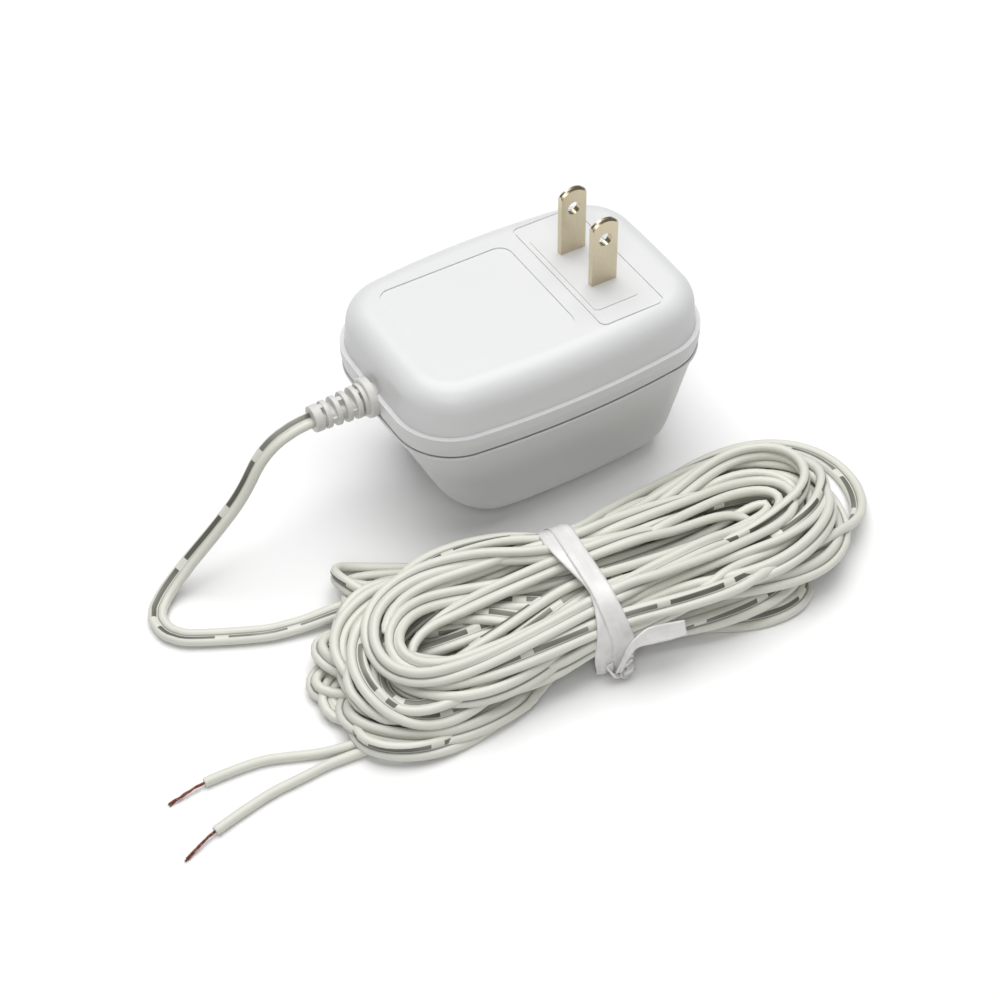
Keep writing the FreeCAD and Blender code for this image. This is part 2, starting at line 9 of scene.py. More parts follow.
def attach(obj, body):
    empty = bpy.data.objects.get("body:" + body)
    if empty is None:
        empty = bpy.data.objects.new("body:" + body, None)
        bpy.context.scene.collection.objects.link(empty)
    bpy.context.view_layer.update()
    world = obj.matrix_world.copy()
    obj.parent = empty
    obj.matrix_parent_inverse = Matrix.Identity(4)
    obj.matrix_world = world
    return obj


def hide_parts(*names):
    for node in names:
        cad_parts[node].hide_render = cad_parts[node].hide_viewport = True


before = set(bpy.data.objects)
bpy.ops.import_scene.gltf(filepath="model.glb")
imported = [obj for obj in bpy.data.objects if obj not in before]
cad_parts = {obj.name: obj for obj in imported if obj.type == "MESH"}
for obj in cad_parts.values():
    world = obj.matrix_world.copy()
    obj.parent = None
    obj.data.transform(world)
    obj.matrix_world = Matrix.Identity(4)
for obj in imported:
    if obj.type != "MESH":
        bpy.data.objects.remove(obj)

bl_info = {
    "name": "Plug-in bell transformer",
    "version": (1, 0, 0),
    "blender": (4, 5, 0),
    "location": "3D View > Sidebar > Transformer",
    "description": "Dresses a plug-in bell transformer with its tied flat cord, bared wire ends and finishes",
    "category": "Object",
}

MM = 0.001

# The camera: azimuth, elevation and roll in degrees, and its distance back, aside and below in
# millimetres from the middle between the blades' roots
CAMERA_ANGLES = (-29.96, 46.34, 0.96)
CAMERA_OFFSETS = (442.105, 20.006, 51.561)
CAMERA_LENS = 72.0
BLADE_MIDDLE = (17.08, 0.0, 46.0)

# The floor and the lights, in metres
FLOOR_HALF = 4.0
KEY_PLACE = (0.10, 0.26, 1.35)
FILL_PLACE = (-0.62, -1.0, 1.15)
LIT_POINT = (-0.02, -0.03, 0.02)

# Height of the seam between the casing's halves, in metres, where the casing's finish paints a line of shade
SEAM_MIDDLE = 0.03017

# The cord's route from the strain relief to the hank, in millimetres
LEAD = [
    (-52.2, 0.0, 33.4),
    (-57.4, 0.0, 33.4),
    (-64.6, 0.2, 29.0),
    (-69.8, 0.0, 20.2),
    (-76.4, 0.2, 13.2),
    (-84.6, 0.2, 6.2),
    (-91.9, -1.8, 1.8),
    (-96.4, -6.6, 1.5),
    (-95.1, -13.8, 1.5),
    (-87.4, -18.2, 1.5),
]

# Where the wound turns begin and end, on the floor at the hank's edge
WINDING_START = [(-77.4, -23.0, 1.5), (-65.3, -26.2, 2.0), (-52.0, -31.0, 3.0)]
WINDING_END = [(-58.0, -63.5, 2.0), (-66.0, -61.5, 1.6), (-73.0, -60.1, 1.3)]

# Fold tips at the cord's end of the hank: x, y, height and half width of each hairpin
NEAR_FOLDS = [
    (-76.5, -41.0, 2.0, 7.0), (-76.5, -48.0, 2.0, 8.0), (-75.5, -58.5, 2.0, 12.0),
    (-75.5, -56.0, 3.0, 13.0), (-72.5, -34.0, 4.0, 8.0), (-72.5, -36.5, 3.0, 6.0),
    (-62.0, -24.0, 3.0, 4.0), (-62.0, -31.0, 5.0, 4.5), (-69.0, -33.5, 5.0, 9.0),
    (-72.0, -47.0, 4.0, 12.0), (-72.0, -45.0, 6.0, 13.0), (-73.0, -51.0, 6.0, 12.0),
    (-62.0, -20.5, 5.0, 4.6), (-60.5, -20.5, 4.0, 3.6), (-68.0, -46.5, 8.0, 13.0),
    (-66.0, -46.0, 9.0, 14.0), (-65.5, -47.5, 9.5, 15.0), (-70.5, -48.0, 8.0, 14.5),
    (-64.0, -46.0, 10.0, 15.0), (-67.5, -50.0, 9.0, 12.0), (-63.0, -47.5, 10.5, 12.5),
    (-65.0, -45.0, 10.5, 13.5), (-62.0, -50.0, 11.0, 11.0), (-60.5, -54.0, 10.5, 8.5),
]

# Fold tips at the hank's other end
FAR_FOLDS = [
    (32.6, -68.0, 2.0, 7.0), (27.0, -68.0, 2.0, 6.0), (30.4, -62.0, 2.0, 9.0), (36.6, -60.0, 3.0, 12.0),
    (41.0, -56.0, 3.0, 13.0), (38.8, -54.0, 3.0, 10.0), (44.0, -54.0, 4.0, 15.0), (44.5, -52.5, 5.0, 13.0),
    (42.7, -51.0, 5.0, 9.0), (46.5, -53.0, 6.0, 15.5), (48.0, -53.0, 7.0, 16.0), (49.0, -53.5, 8.0, 17.0),
    (44.0, -53.0, 9.0, 12.0), (37.0, -54.0, 9.0, 8.0), (33.6, -51.5, 8.0, 7.0), (43.0, -52.0, 9.0, 13.0),
    (45.5, -55.0, 9.0, 15.0), (41.0, -53.0, 10.0, 11.0), (60.0, -44.5, 6.0, 20.0), (47.0, -52.0, 9.5, 14.0),
    (43.5, -48.5, 12.0, 12.0), (38.5, -54.0, 11.0, 9.0), (36.0, -53.5, 11.0, 8.0), (31.5, -55.0, 11.0, 6.5),
    (27.0, -54.5, 12.0, 6.0),
]

# Height of the sheath's underside off the floor, in metres
LOWEST_SKIN = 0.00002

# The striped core's crown, and 1 mm of skin, as shares of the way round the flat cord
CROWN_PLACE = 0.395
ROUND_PER_MM = 0.088

# The split cores' routes to their bared ends
UPPER_CORE = [(-72.8, -59.0, 1.3), (-80.6, -57.5, 1.05), (-87.1, -54.6, 1.05),
              (-94.5, -51.6, 1.05), (-105.2, -51.3, 1.05)]
LOWER_CORE = [(-72.9, -61.3, 1.3), (-80.9, -60.0, 1.05), (-87.8, -60.4, 1.05),
              (-96.6, -60.4, 1.05), (-108.3, -63.0, 1.05)]

# The fine wires of a bared end: their spacing round the twist, and how far apart they end, in metres
GOLDEN_ANGLE = 2.39996
UNEVEN_ENDS = 0.0012

# The bared strands, in millimetres: their length, their turn away from the core's own way, the height
# of their tips and the length inside the core
BARE_LENGTH = 7.8
BARE_TURN = math.radians(7.0)
BARE_TIP_HEIGHT = 0.45
HIDDEN_LENGTH = 1.4

# The tie round the hank's waist, in millimetres: its middle, its turn and its own directions
TIE_MIDDLE = np.array([-16.5, -54.0, 10.6])
TIE_TURN = math.radians(-10.4)
ALONG = np.array([math.cos(TIE_TURN), math.sin(TIE_TURN), 0.0])
ACROSS = np.array([-math.sin(TIE_TURN), math.cos(TIE_TURN), 0.0])
UP = np.array([0.0, 0.0, 1.0])

# The oval that the turns are drawn into, how far along the hank it reaches, and its tightest length
WAIST_HALF_WIDTH = 15.6
WAIST_HALF_HEIGHT = 9.2
WAIST_REACH = 16.0
TIE_HALF_LENGTH = 5.0

# The strap: its height off the floor, its distance from the cores, its front and its mesh's columns
LOWEST_STRAP = 0.35
STRAP_CLEARANCE = 1.5
STRAP_FRONT = -16.3
STRAP_COLUMNS = 9

# The strap's two turns: how far each is shifted along the hank behind and in front
STRAP_SHIFTS = ((-4.0, -1.9), (-1.1, 1.9))

# The knot and the tail: each strip's places along, across and above the tie, its widths and its leans
# at them in degrees, and its height off them by how far along and across it a point is
STRIP_ROWS = 44
STRIPS = {
    "strap_loop": (
        [(-1.4, -17.0, 5.0), (-1.0, -17.9, 1.9), (0.8, -18.0, 1.2), (2.2, -17.6, 3.2), (2.4, -17.2, 6.4)],
        [2.6, 2.4, 1.7, 2.2, 2.8], [80, 60, 10, -50, -80],
        lambda run, spot: 0.30 * np.sin(spot * 4.4 + run * 9)),
    "strap_crumple": (
        [(3.0, -17.3, 5.6), (2.5, -18.1, 3.8), (1.6, -18.0, 2.1), (2.6, -18.2, 1.3), (3.4, -17.6, 2.6)],
        [1.6, 2.4, 2.0, 2.5, 1.4], [-60, 20, 110, 190, 260],
        lambda run, spot: 0.42 * np.sin(spot * 6.5 + run * 16)),
    "strap_tail": (
        [(0.0, -18.4, 3.4), (0.9, -18.9, 7.6), (2.8, -18.9, 11.8),
         (6.4, -18.7, 13.0), (10.6, -18.4, 12.0), (15.0, -18.0, 11.2)],
        [1.4, 1.3, 2.0, 3.6, 3.7, 3.2], [30, 24, -10, -38, -40, -42],
        lambda run, spot: 0.16 * spot ** 2 + 0.07 * np.sin(run * 15 + spot * 2)),
}

# One fold, from the run that comes to it to the run that leaves it: back from the tip and out to the
# side, in half widths
HAIRPIN = ((2.6, 0.95), (1.2, 1.0), (0.35, 0.7), (0.0, 0.0), (0.35, -0.7), (1.2, -1.0), (2.6, -0.95))

# Winding: where a layer's turns pass through the tie, as shares of its half width, the layers' heights,
# the half length of the straight runs there, and the distance of the points
LAYER_PLACES = (0.85, 0.5, 0.17)
LOWEST_LAYER = 2.6
LAYER_RISE = 2.1
RUN_HALF_LENGTH = 6.0
CONTROL_STEP = 3.2

# Settling: its rounds, the points held at each end, how far the cord falls in a round, how strongly it
# goes back to where it was wound, how far it may rise or be pushed, how near it may come to the front,
# the side that its face is turned to, and the length in which its lean changes
SETTLING_ROUNDS = 260
HELD_POINTS = 4
FALL_STEP = 0.06
HOME_PULL = 0.03
HIGHEST_RISE = 4.0
LONGEST_PUSH = 0.7
NEAREST_TURN = -75.9
SHOWN_SIDE = np.array([-0.35, -0.60, 0.72])
LEAN_STEP = 60.0

# Stiffness: how many points apart the neighbours are, its strength and its longest step
STIFFNESS = ((1, 0.30, 1.0), (2, 0.12, 0.25), (4, 0.10, 0.05))


def as_array(points):
    return np.array(points, float)


# Sizes and colours

class CordSettings(bpy.types.PropertyGroup):
    core_diameter: bpy.props.FloatProperty(
        name="Core diameter", description="Outer diameter of one core", default=0.0021, unit="LENGTH")
    ring_step: bpy.props.FloatProperty(
        name="Ring step", description="Distance of the mesh rings", default=0.0016, unit="LENGTH")
    stripe_width: bpy.props.FloatProperty(
        name="Stripe width", description="Width of the polarity stripe", default=0.00115, unit="LENGTH")
    dash_length: bpy.props.FloatProperty(
        name="Dash length", description="Length of one dash of the stripe", default=0.0125, unit="LENGTH")
    gap_length: bpy.props.FloatProperty(
        name="Gap length", description="Length of the gap between two dashes", default=0.0029, unit="LENGTH")
    sheath_colour: bpy.props.FloatVectorProperty(
        name="Sheath colour", description="Ivory insulation", default=(0.71, 0.71, 0.64), size=3,
        subtype="COLOR")
    stripe_colour: bpy.props.FloatVectorProperty(
        name="Stripe colour", description="Olive grey of the stripe", default=(0.085, 0.085, 0.066), size=3,
        subtype="COLOR")


class StrandSettings(bpy.types.PropertyGroup):
    count: bpy.props.IntProperty(name="Strands", description="Fine wires in one bared end", default=10)
    wire_radius: bpy.props.FloatProperty(
        name="Wire radius", description="Radius of one fine wire", default=0.0001, unit="LENGTH")
    bundle_radius: bpy.props.FloatProperty(
        name="Bundle radius", description="Radius that the wires fill", default=0.00023, unit="LENGTH")
    lay_length: bpy.props.FloatProperty(
        name="Lay length", description="Length of one twist of the wires", default=0.0065, unit="LENGTH")
    splay: bpy.props.FloatProperty(
        name="Splay", description="How far the wires open at their tips", default=0.7, subtype="FACTOR")
    colour: bpy.props.FloatVectorProperty(
        name="Copper colour", description="Bare copper", default=(0.36, 0.13, 0.09), size=3, subtype="COLOR")


class TieSettings(bpy.types.PropertyGroup):
    width: bpy.props.FloatProperty(
        name="Strap width", description="Width of the flat strap", default=0.0044, unit="LENGTH")
    thickness: bpy.props.FloatProperty(
        name="Strap thickness", description="Thickness of the flat strap", default=0.00035, unit="LENGTH")
    colour: bpy.props.FloatVectorProperty(
        name="Strap colour", description="Milky film", default=(0.9, 0.885, 0.87), size=3, subtype="COLOR")


class FinishSettings(bpy.types.PropertyGroup):
    casing_colour: bpy.props.FloatVectorProperty(
        name="Casing colour", description="Cool white moulding", default=(0.715, 0.72, 0.72), size=3,
        subtype="COLOR")
    relief_colour: bpy.props.FloatVectorProperty(
        name="Relief colour", description="Strain relief moulding", default=(0.67, 0.66, 0.63), size=3,
        subtype="COLOR")
    blade_colour: bpy.props.FloatVectorProperty(
        name="Blade colour", description="Nickel plate", default=(0.69, 0.61, 0.45), size=3, subtype="COLOR")


class StageSettings(bpy.types.PropertyGroup):
    floor_colour: bpy.props.FloatVectorProperty(
        name="Floor colour", description="Pale floor", default=(0.90, 0.90, 0.90), size=3, subtype="COLOR")
    key_power: bpy.props.FloatProperty(
        name="Key light", description="Power of the overhead light", default=22.5)
    fill_power: bpy.props.FloatProperty(name="Fill light", description="Power of the side light", default=6.2)
    world_strength: bpy.props.FloatProperty(
        name="Room light", description="Strength of the light from all around", default=0.15)


# Node trees

def sign(operation, turned=False):
    """One of Python's signs for a Value, as a method that adds its Math node."""
    def add_node(value, *others):
        return value.math(operation, *((*others, value) if turned else (value, *others)))
    return add_node


class Value:
    """A node's output that Python's signs can reckon with."""

    __add__, __radd__ = sign("ADD"), sign("ADD", True)
    __sub__, __rsub__ = sign("SUBTRACT"), sign("SUBTRACT", True)
    __mul__, __truediv__, __pow__ = sign("MULTIPLY"), sign("DIVIDE"), sign("POWER")
    __abs__, __lt__ = sign("ABSOLUTE"), sign("LESS_THAN")
    sine, cosine, part_of_one = sign("SINE"), sign("COSINE"), sign("FRACT")

    def __init__(self, tree, socket):
        self.tree = tree
        self.socket = socket

    def math(self, operation, *values):
        return self.tree.node("ShaderNodeMath", {"operation": operation}, dict(enumerate(values)))

    def soft(self, low, high):
        """Nought below low, one above high and smooth between them."""
        values = {"Value": self, "From Min": low, "From Max": high}
        return self.tree.node("ShaderNodeMapRange", {"interpolation_type": "SMOOTHSTEP"}, values)

    def blend(self, first, second):
        """The first colour where this is nought, the second where it is one."""
        values = {0: self, 6: first, 7: second}
        return self.tree.node("ShaderNodeMix", {"data_type": "RGBA"}, values, 2)

    def axis(self, name):
        return self.tree.node("ShaderNodeSeparateXYZ", {}, {0: self}, name)

    def vector(self, operation, other):
        return self.tree.node("ShaderNodeVectorMath", {"operation": operation}, {0: self, 1: other})

    def stretched(self, x, y, z):
        return self.vector("MULTIPLY", (x, y, z))

    def scaled(self, amount):
        return self.tree.node("ShaderNodeVectorMath", {"operation": "SCALE"}, {0: self, "Scale": amount})


class Tree:
    """A node tree that is being built."""

    def __init__(self, nodes):
        self.tree = nodes

    def node(self, kind, settings=None, values=None, output=0):
        """Adds a node: its settings, then the values or links of its sockets. Returns one of its outputs."""
        made = self.tree.nodes.new(kind)
        for name, setting in (settings or {}).items():
            setattr(made, name, setting)
        for name, value in (values or {}).items():
            if isinstance(value, Value):
                self.tree.links.new(value.socket, made.inputs[name])
            else:
                made.inputs[name].default_value = self.fitted(made.inputs[name], value)
        return Value(self, made.outputs[output]) if made.outputs else made

    def fitted(self, socket, value):
        colour = socket.type == "RGBA" and len(tuple(value)) == 3
        return (*value, 1.0) if colour else value


class Finish(Tree):
    """A material that is being built, in the piece's own places."""

    def __init__(self, name):
        self.material = bpy.data.materials.new(name)
        self.material.use_nodes = True
        super().__init__(self.material.node_tree)
        self.tree.nodes.clear()
        self.places = self.node("ShaderNodeTexCoord", output="Object")

    def grain(self, scale, detail=3.0, roughness=0.55, places=None):
        values = {"Vector": places or self.places, "Scale": scale, "Detail": detail, "Roughness": roughness}
        return self.node("ShaderNodeTexNoise", {}, values)

    def surface(self, tone, rough, height, depth, strength, others=None):
        """The plain shader, with a bump of this height, depth in metres and strength."""
        bump = self.node("ShaderNodeBump", {}, {"Strength": strength, "Distance": depth, "Height": height})
        values = {"Base Color": tone, "Roughness": rough, "Normal": bump, **(others or {})}
        shader = self.node("ShaderNodeBsdfPrincipled", {}, values)
        self.node("ShaderNodeOutputMaterial", {}, {"Surface": shader})
        return self.material


def darker(colour, share):
    return tuple(channel * share for channel in colour)


# Finishes

def casing_finish(colour):
    """Matte moulding: a fine spark-eroded grain, faint flow marks, a few soft rubs and a painted line of
    shade at the seam.
    """
    finish = Finish("casing_moulding")
    grain = finish.grain(2600.0, 2.0)
    flow = finish.grain(38.0, 4.0, 0.6, finish.places.stretched(1.0, 1.0, 2.4))
    rubs = finish.grain(160.0, 6.0, 0.7, finish.places.stretched(0.25, 1.0, 1.0)).soft(0.58, 0.72)
    tone = (flow * 0.5 + rubs * 0.2).blend(colour, darker(colour, 0.965))
    # painted shade: a dark line along the seam, where the gap between the halves falls into shadow
    painted_seam_shade = 1.0 - abs(finish.places.axis("Z") - SEAM_MIDDLE).soft(0.00018, 0.00032)
    tone = (painted_seam_shade * 0.7).blend(tone, darker(colour, 0.30))
    rough = 0.36 + grain * 0.06 + rubs * 0.05
    return finish.surface(tone, rough, grain * 0.7 + flow * 0.6, 0.00002, 0.55)


def relief_finish(colour):
    """Soft grey-white moulding with a satin skin."""
    finish = Finish("relief_moulding")
    grain = finish.grain(1500.0, 3.0)
    cloud = finish.grain(220.0, 3.0)
    tone = cloud.blend(darker(colour, 0.94), colour)
    return finish.surface(tone, 0.40 + grain * 0.12, grain + cloud * 0.5, 0.00003, 0.5)


def sheath_finish(cord):
    """Extruded insulation: draw lines, handling marks, painted shade along the web and one core's dashed
    stripe.
    """
    finish = Finish("cord_sheath")
    own = finish.node("ShaderNodeUVMap", {"uv_map": "sheath"})
    round_it, along_it = own.axis("X"), own.axis("Y")
    period = cord.dash_length + cord.gap_length
    off_crown = abs(round_it - CROWN_PLACE)
    half = cord.stripe_width / MM * ROUND_PER_MM / 2
    place = (along_it / period).part_of_one()
    share = cord.dash_length / period
    worn = finish.grain(35.0, 3.0, 0.6)
    dash = (1.0 - off_crown.soft(half * 0.8, half * 1.15)) * (place < share)
    stripe = dash * (0.62 + worn.soft(0.30, 0.60) * 0.34)
    cloud = finish.grain(95.0, 4.0)
    handled = finish.grain(420.0, 5.0, 0.7).soft(0.60, 0.78)
    sheath = (cloud * 0.7 + handled * 0.3).blend(cord.sheath_colour, darker(cord.sheath_colour, 0.90))
    tone = stripe.blend(sheath, cord.stripe_colour)
    # the web between the cores is at 0 and 0.5 of the way round; painted shade darkens the sheath along it,
    # where the groove between the cores falls into shadow
    painted_web_shade = abs(abs(round_it - 0.5) - 0.25).soft(0.212, 0.244)
    tone = (painted_web_shade * 0.78).blend(tone, darker(cord.sheath_colour, 0.20))
    draw = finish.grain(1.0, 2.0, 0.5, own.stretched(60.0, 18.0, 0.0))
    pits = finish.grain(1300.0, 2.0)
    rough = 0.36 + cloud * 0.10 + handled * 0.08 + stripe * 0.05
    return finish.surface(tone, rough, draw * 0.6 + pits * 0.5, 0.00004, 0.45)


def core_finish(cord):
    """The same insulation on one split core."""
    finish = Finish("core_sheath")
    cloud = finish.grain(140.0, 4.0)
    draw = finish.grain(700.0, 3.0, 0.6, finish.places.stretched(0.25, 1.0, 1.0))
    tone = cloud.blend(cord.sheath_colour, darker(cord.sheath_colour, 0.92))
    return finish.surface(tone, 0.38 + draw * 0.10, draw + cloud * 0.4, 0.00005, 0.5)


def strand_finish(colour):
    """Bare copper that has dulled, with brighter rubbed places."""
    finish = Finish("bare_copper")
    dull = finish.grain(1800.0, 4.0, 0.65)
    tone = dull.soft(0.35, 0.70).blend(darker(colour, 0.45), colour)
    return finish.surface(tone, 0.30 + dull * 0.25, dull, 0.00001, 0.5, {"Metallic": 1.0})


def strap_finish(colour):
    """Milky film with stretch streaks, cloudier in patches."""
    finish = Finish("strap_film")
    own = finish.node("ShaderNodeUVMap", {"uv_map": "film"})
    streaks = finish.grain(1.0, 3.0, 0.5, own.stretched(1500.0, 60.0, 0.0))
    cloud = finish.grain(170.0, 3.0, 0.5)
    tone = (streaks * 0.4 + cloud * 0.6).blend(darker(colour, 0.93), colour)
    cover = 0.74 + cloud.soft(0.35, 0.70) * 0.16 + streaks.soft(0.45, 0.75) * 0.06
    return finish.surface(tone, 0.24 + streaks * 0.12, streaks * 0.4 + cloud, 0.00005, 0.4,
                          {"Alpha": cover, "Coat Weight": 0.3})


def blade_finish(colour):
    """Nickel plate drawn lengthwise, with fine insertion scratches towards the tip."""
    finish = Finish("nickel_plate")
    drawn = finish.grain(1.0, 4.0, 0.6, finish.places.stretched(5200.0, 2600.0, 120.0))
    cloud = finish.grain(170.0, 3.0)
    scratch = finish.grain(1.0, 5.0, 0.75, finish.places.stretched(2400.0, 7000.0, 210.0)).soft(0.62, 0.70)
    high = finish.places.axis("Z").soft(0.050, 0.060)
    rubbed = scratch * (0.25 + high * 0.75)
    tone = (cloud * 0.6 + rubbed * 0.4).blend(colour, darker(colour, 0.84))
    rough = 0.20 + drawn * 0.12 + rubbed * 0.12
    return finish.surface(tone, rough, drawn * 0.7 - rubbed * 0.6, 0.00001, 0.6, {"Metallic": 1.0})


def sheet_stack_finish(name, colour, pitch, axis):
    """Varnished sheets on edge: a fine line at each sheet, with varnish runs."""
    finish = Finish(name)
    edge = (finish.places.axis(axis) / pitch).part_of_one().soft(0.78, 1.0)
    varnish = finish.grain(240.0, 5.0, 0.65)
    tone = (edge * 0.7 + varnish * 0.3).blend(colour, darker(colour, 0.35))
    return finish.surface(tone, 0.34 + varnish * 0.28, varnish * 0.5 - edge, 0.00006, 0.7, {"Metallic": 0.85})


def wound_finish(name, colour, pitch, metallic, rough):
    """Turns lying side by side across a winding or a wrap of tape."""
    finish = Finish(name)
    turn = ((finish.places.axis("X") / pitch) * math.tau).sine()
    cloud = finish.grain(300.0, 4.0)
    tone = (turn * 0.3 + cloud * 0.7).blend(darker(colour, 0.72), colour)
    return finish.surface(tone, rough + cloud * 0.16, turn + cloud * 0.4, 0.00006, 0.7,
                          {"Metallic": metallic})


def moulded_finish(name, colour, metallic, rough):
    """A small moulded, tinned or sealed part: fine grain and cloudy tone."""
    finish = Finish(name)
    grain = finish.grain(1400.0, 3.0)
    cloud = finish.grain(210.0, 4.0, 0.6)
    tone = cloud.blend(darker(colour, 0.78), colour)
    return finish.surface(tone, rough + grain * 0.15, grain + cloud * 0.5, 0.00003, 0.6,
                          {"Metallic": metallic})


def floor_finish(colour):
    """Plain pale paper."""
    finish = Finish("paper_floor")
    fibre = finish.grain(520.0, 4.0)
    tone = finish.grain(9.0, 2.0).blend(colour, darker(colour, 0.985))
    return finish.surface(tone, 0.7 + fibre * 0.1, fibre, 0.00002, 0.3)


# Meshes

def new_object(name, data):
    made = bpy.data.objects.new(name, data)
    bpy.context.scene.collection.objects.link(made)
    return made


def smooth_spline(name, points, resolution=12):
    """An object with one smooth spline, whose control points are given in millimetres."""
    curve = bpy.data.curves.new(name, "CURVE")
    curve.dimensions = "3D"
    spline = curve.splines.new("NURBS")
    spline.points.add(len(points) - 1)
    for point, place in zip(spline.points, points):
        point.co = (*(float(number) * MM for number in place), 1.0)
    spline.order_u = 3
    spline.use_endpoint_u = True
    spline.resolution_u = resolution
    return new_object(name, curve)


def kept_mesh(holder):
    """The mesh that the object gives; the object and its curve go."""
    curve = holder.data
    mesh = bpy.data.meshes.new_from_object(holder.evaluated_get(bpy.context.evaluated_depsgraph_get()))
    holder.modifiers.clear()
    bpy.data.objects.remove(holder)
    bpy.data.curves.remove(curve)
    return mesh


def nurbs_points(name, points, resolution):
    """The points, in metres, that Blender reads from a smooth spline with these control points."""
    mesh = kept_mesh(smooth_spline(name, points, resolution))
    line = as_array([vertex.co for vertex in mesh.vertices])
    bpy.data.meshes.remove(mesh)
    return line


def lengths_along(line):
    return np.concatenate([[0.0], np.cumsum(np.linalg.norm(np.diff(line, axis=0), axis=1))])


def read_off(at, known, rows):
    """Rows of places or directions at some values, between the rows that are known."""
    return np.stack([np.interp(at, known, column) for column in rows.T], 1)


def unit(vectors):
    return vectors / np.maximum(np.linalg.norm(vectors, axis=-1, keepdims=True), 1e-12)


def add_piece(name, vertices, faces, material, uv_name=None, uvs=None):
    """A smooth mesh piece with its place in its vertices."""
    mesh = bpy.data.meshes.new(name)
    mesh.from_pydata([tuple(v) for v in vertices], [], [tuple(f) for f in faces])
    if uv_name:
        layer = mesh.uv_layers.new(name=uv_name)
        layer.data.foreach_set("uv", np.asarray(uvs, np.float32).ravel())
    mesh.materials.append(material)
    mesh.shade_smooth()
    mesh.update()
    return new_object(name, mesh)


def tube_faces(rings, sides):
    """Quads between closed rings, facing outwards, and the ring and side of each of their corners."""
    ring, side = np.meshgrid(np.arange(rings - 1), np.arange(sides), indexing="ij")
    ring, side = ring.ravel(), side.ravel()
    after = (side + 1) % sides
    faces = np.stack([ring * sides + side, (ring + 1) * sides + side,
                      (ring + 1) * sides + after, ring * sides + after], 1)
    corners = np.stack([ring, ring + 1, ring + 1, ring], 1), np.stack([side, side, side + 1, side + 1], 1)
    return faces, corners


def apply_nodes(name, points, tree, inputs):
    """Runs a Geometry Nodes tree on a smooth spline and keeps the plain mesh it makes."""
    holder = smooth_spline(name + "_path", points)
    modifier = holder.modifiers.new("build", "NODES")
    modifier.node_group = tree
    named = {item.name: item.identifier for item in tree.interface.items_tree if item.in_out == "INPUT"}
    for label, value in inputs.items():
        modifier[named[label]] = value
    mesh = kept_mesh(holder)
    mesh.name = name
    return new_object(name, mesh)


def node_group(name, sockets):
    """A Geometry Nodes tree with named inputs and one geometry output."""
    group = bpy.data.node_groups.new(name, "GeometryNodeTree")
    group.interface.new_socket("Geometry", in_out="INPUT", socket_type="NodeSocketGeometry")
    for label, (kind, default) in sockets.items():
        socket = group.interface.new_socket(label, in_out="INPUT", socket_type=kind)
        if default is not None:
            socket.default_value = default
    group.interface.new_socket("Geometry", in_out="OUTPUT", socket_type="NodeSocketGeometry")
    tree = Tree(group)
    entry = group.nodes.new("NodeGroupInput")
    inputs = {socket.name: Value(tree, socket) for socket in entry.outputs if socket.name}
    return group, tree, inputs


def finish_group(group, tree, geometry, material):
    geometry = tree.node("GeometryNodeSetShadeSmooth", {}, {"Geometry": geometry})
    geometry = tree.node("GeometryNodeRealizeInstances", {}, {"Geometry": geometry})
    geometry = tree.node("GeometryNodeSetMaterial", {}, {"Geometry": geometry, "Material": material})
    leave = group.nodes.new("NodeGroupOutput")
    group.links.new(geometry.socket, leave.inputs[0])
    return group


def swept(tree, path, radius, sides, more):
    """A round profile along a path, closed at its ends."""
    profile = tree.node("GeometryNodeCurvePrimitiveCircle", {}, {"Resolution": sides, "Radius": radius})
    values = {"Curve": path, "Profile Curve": profile, **more, "Fill Caps": True}
    return tree.node("GeometryNodeCurveToMesh", {}, values)


def core_tube_tree():
    """A round sheath along a path, with its end cut square and softly rounded."""
    group, tree, given = node_group("core_tube", {
        "Radius": ("NodeSocketFloat", 0.001),
        "Rings": ("NodeSocketInt", 60),
        "Material": ("NodeSocketMaterial", None),
    })
    path = tree.node("GeometryNodeResampleCurve", {}, {"Curve": given["Geometry"], "Count": given["Rings"]})
    place = tree.node("GeometryNodeSplineParameter", output="Factor")
    narrowing = 1.0 - place.soft(0.993, 1.0) * 0.16
    tube = swept(tree, path, given["Radius"], 16, {"Scale": narrowing})
    return finish_group(group, tree, tube, given["Material"])


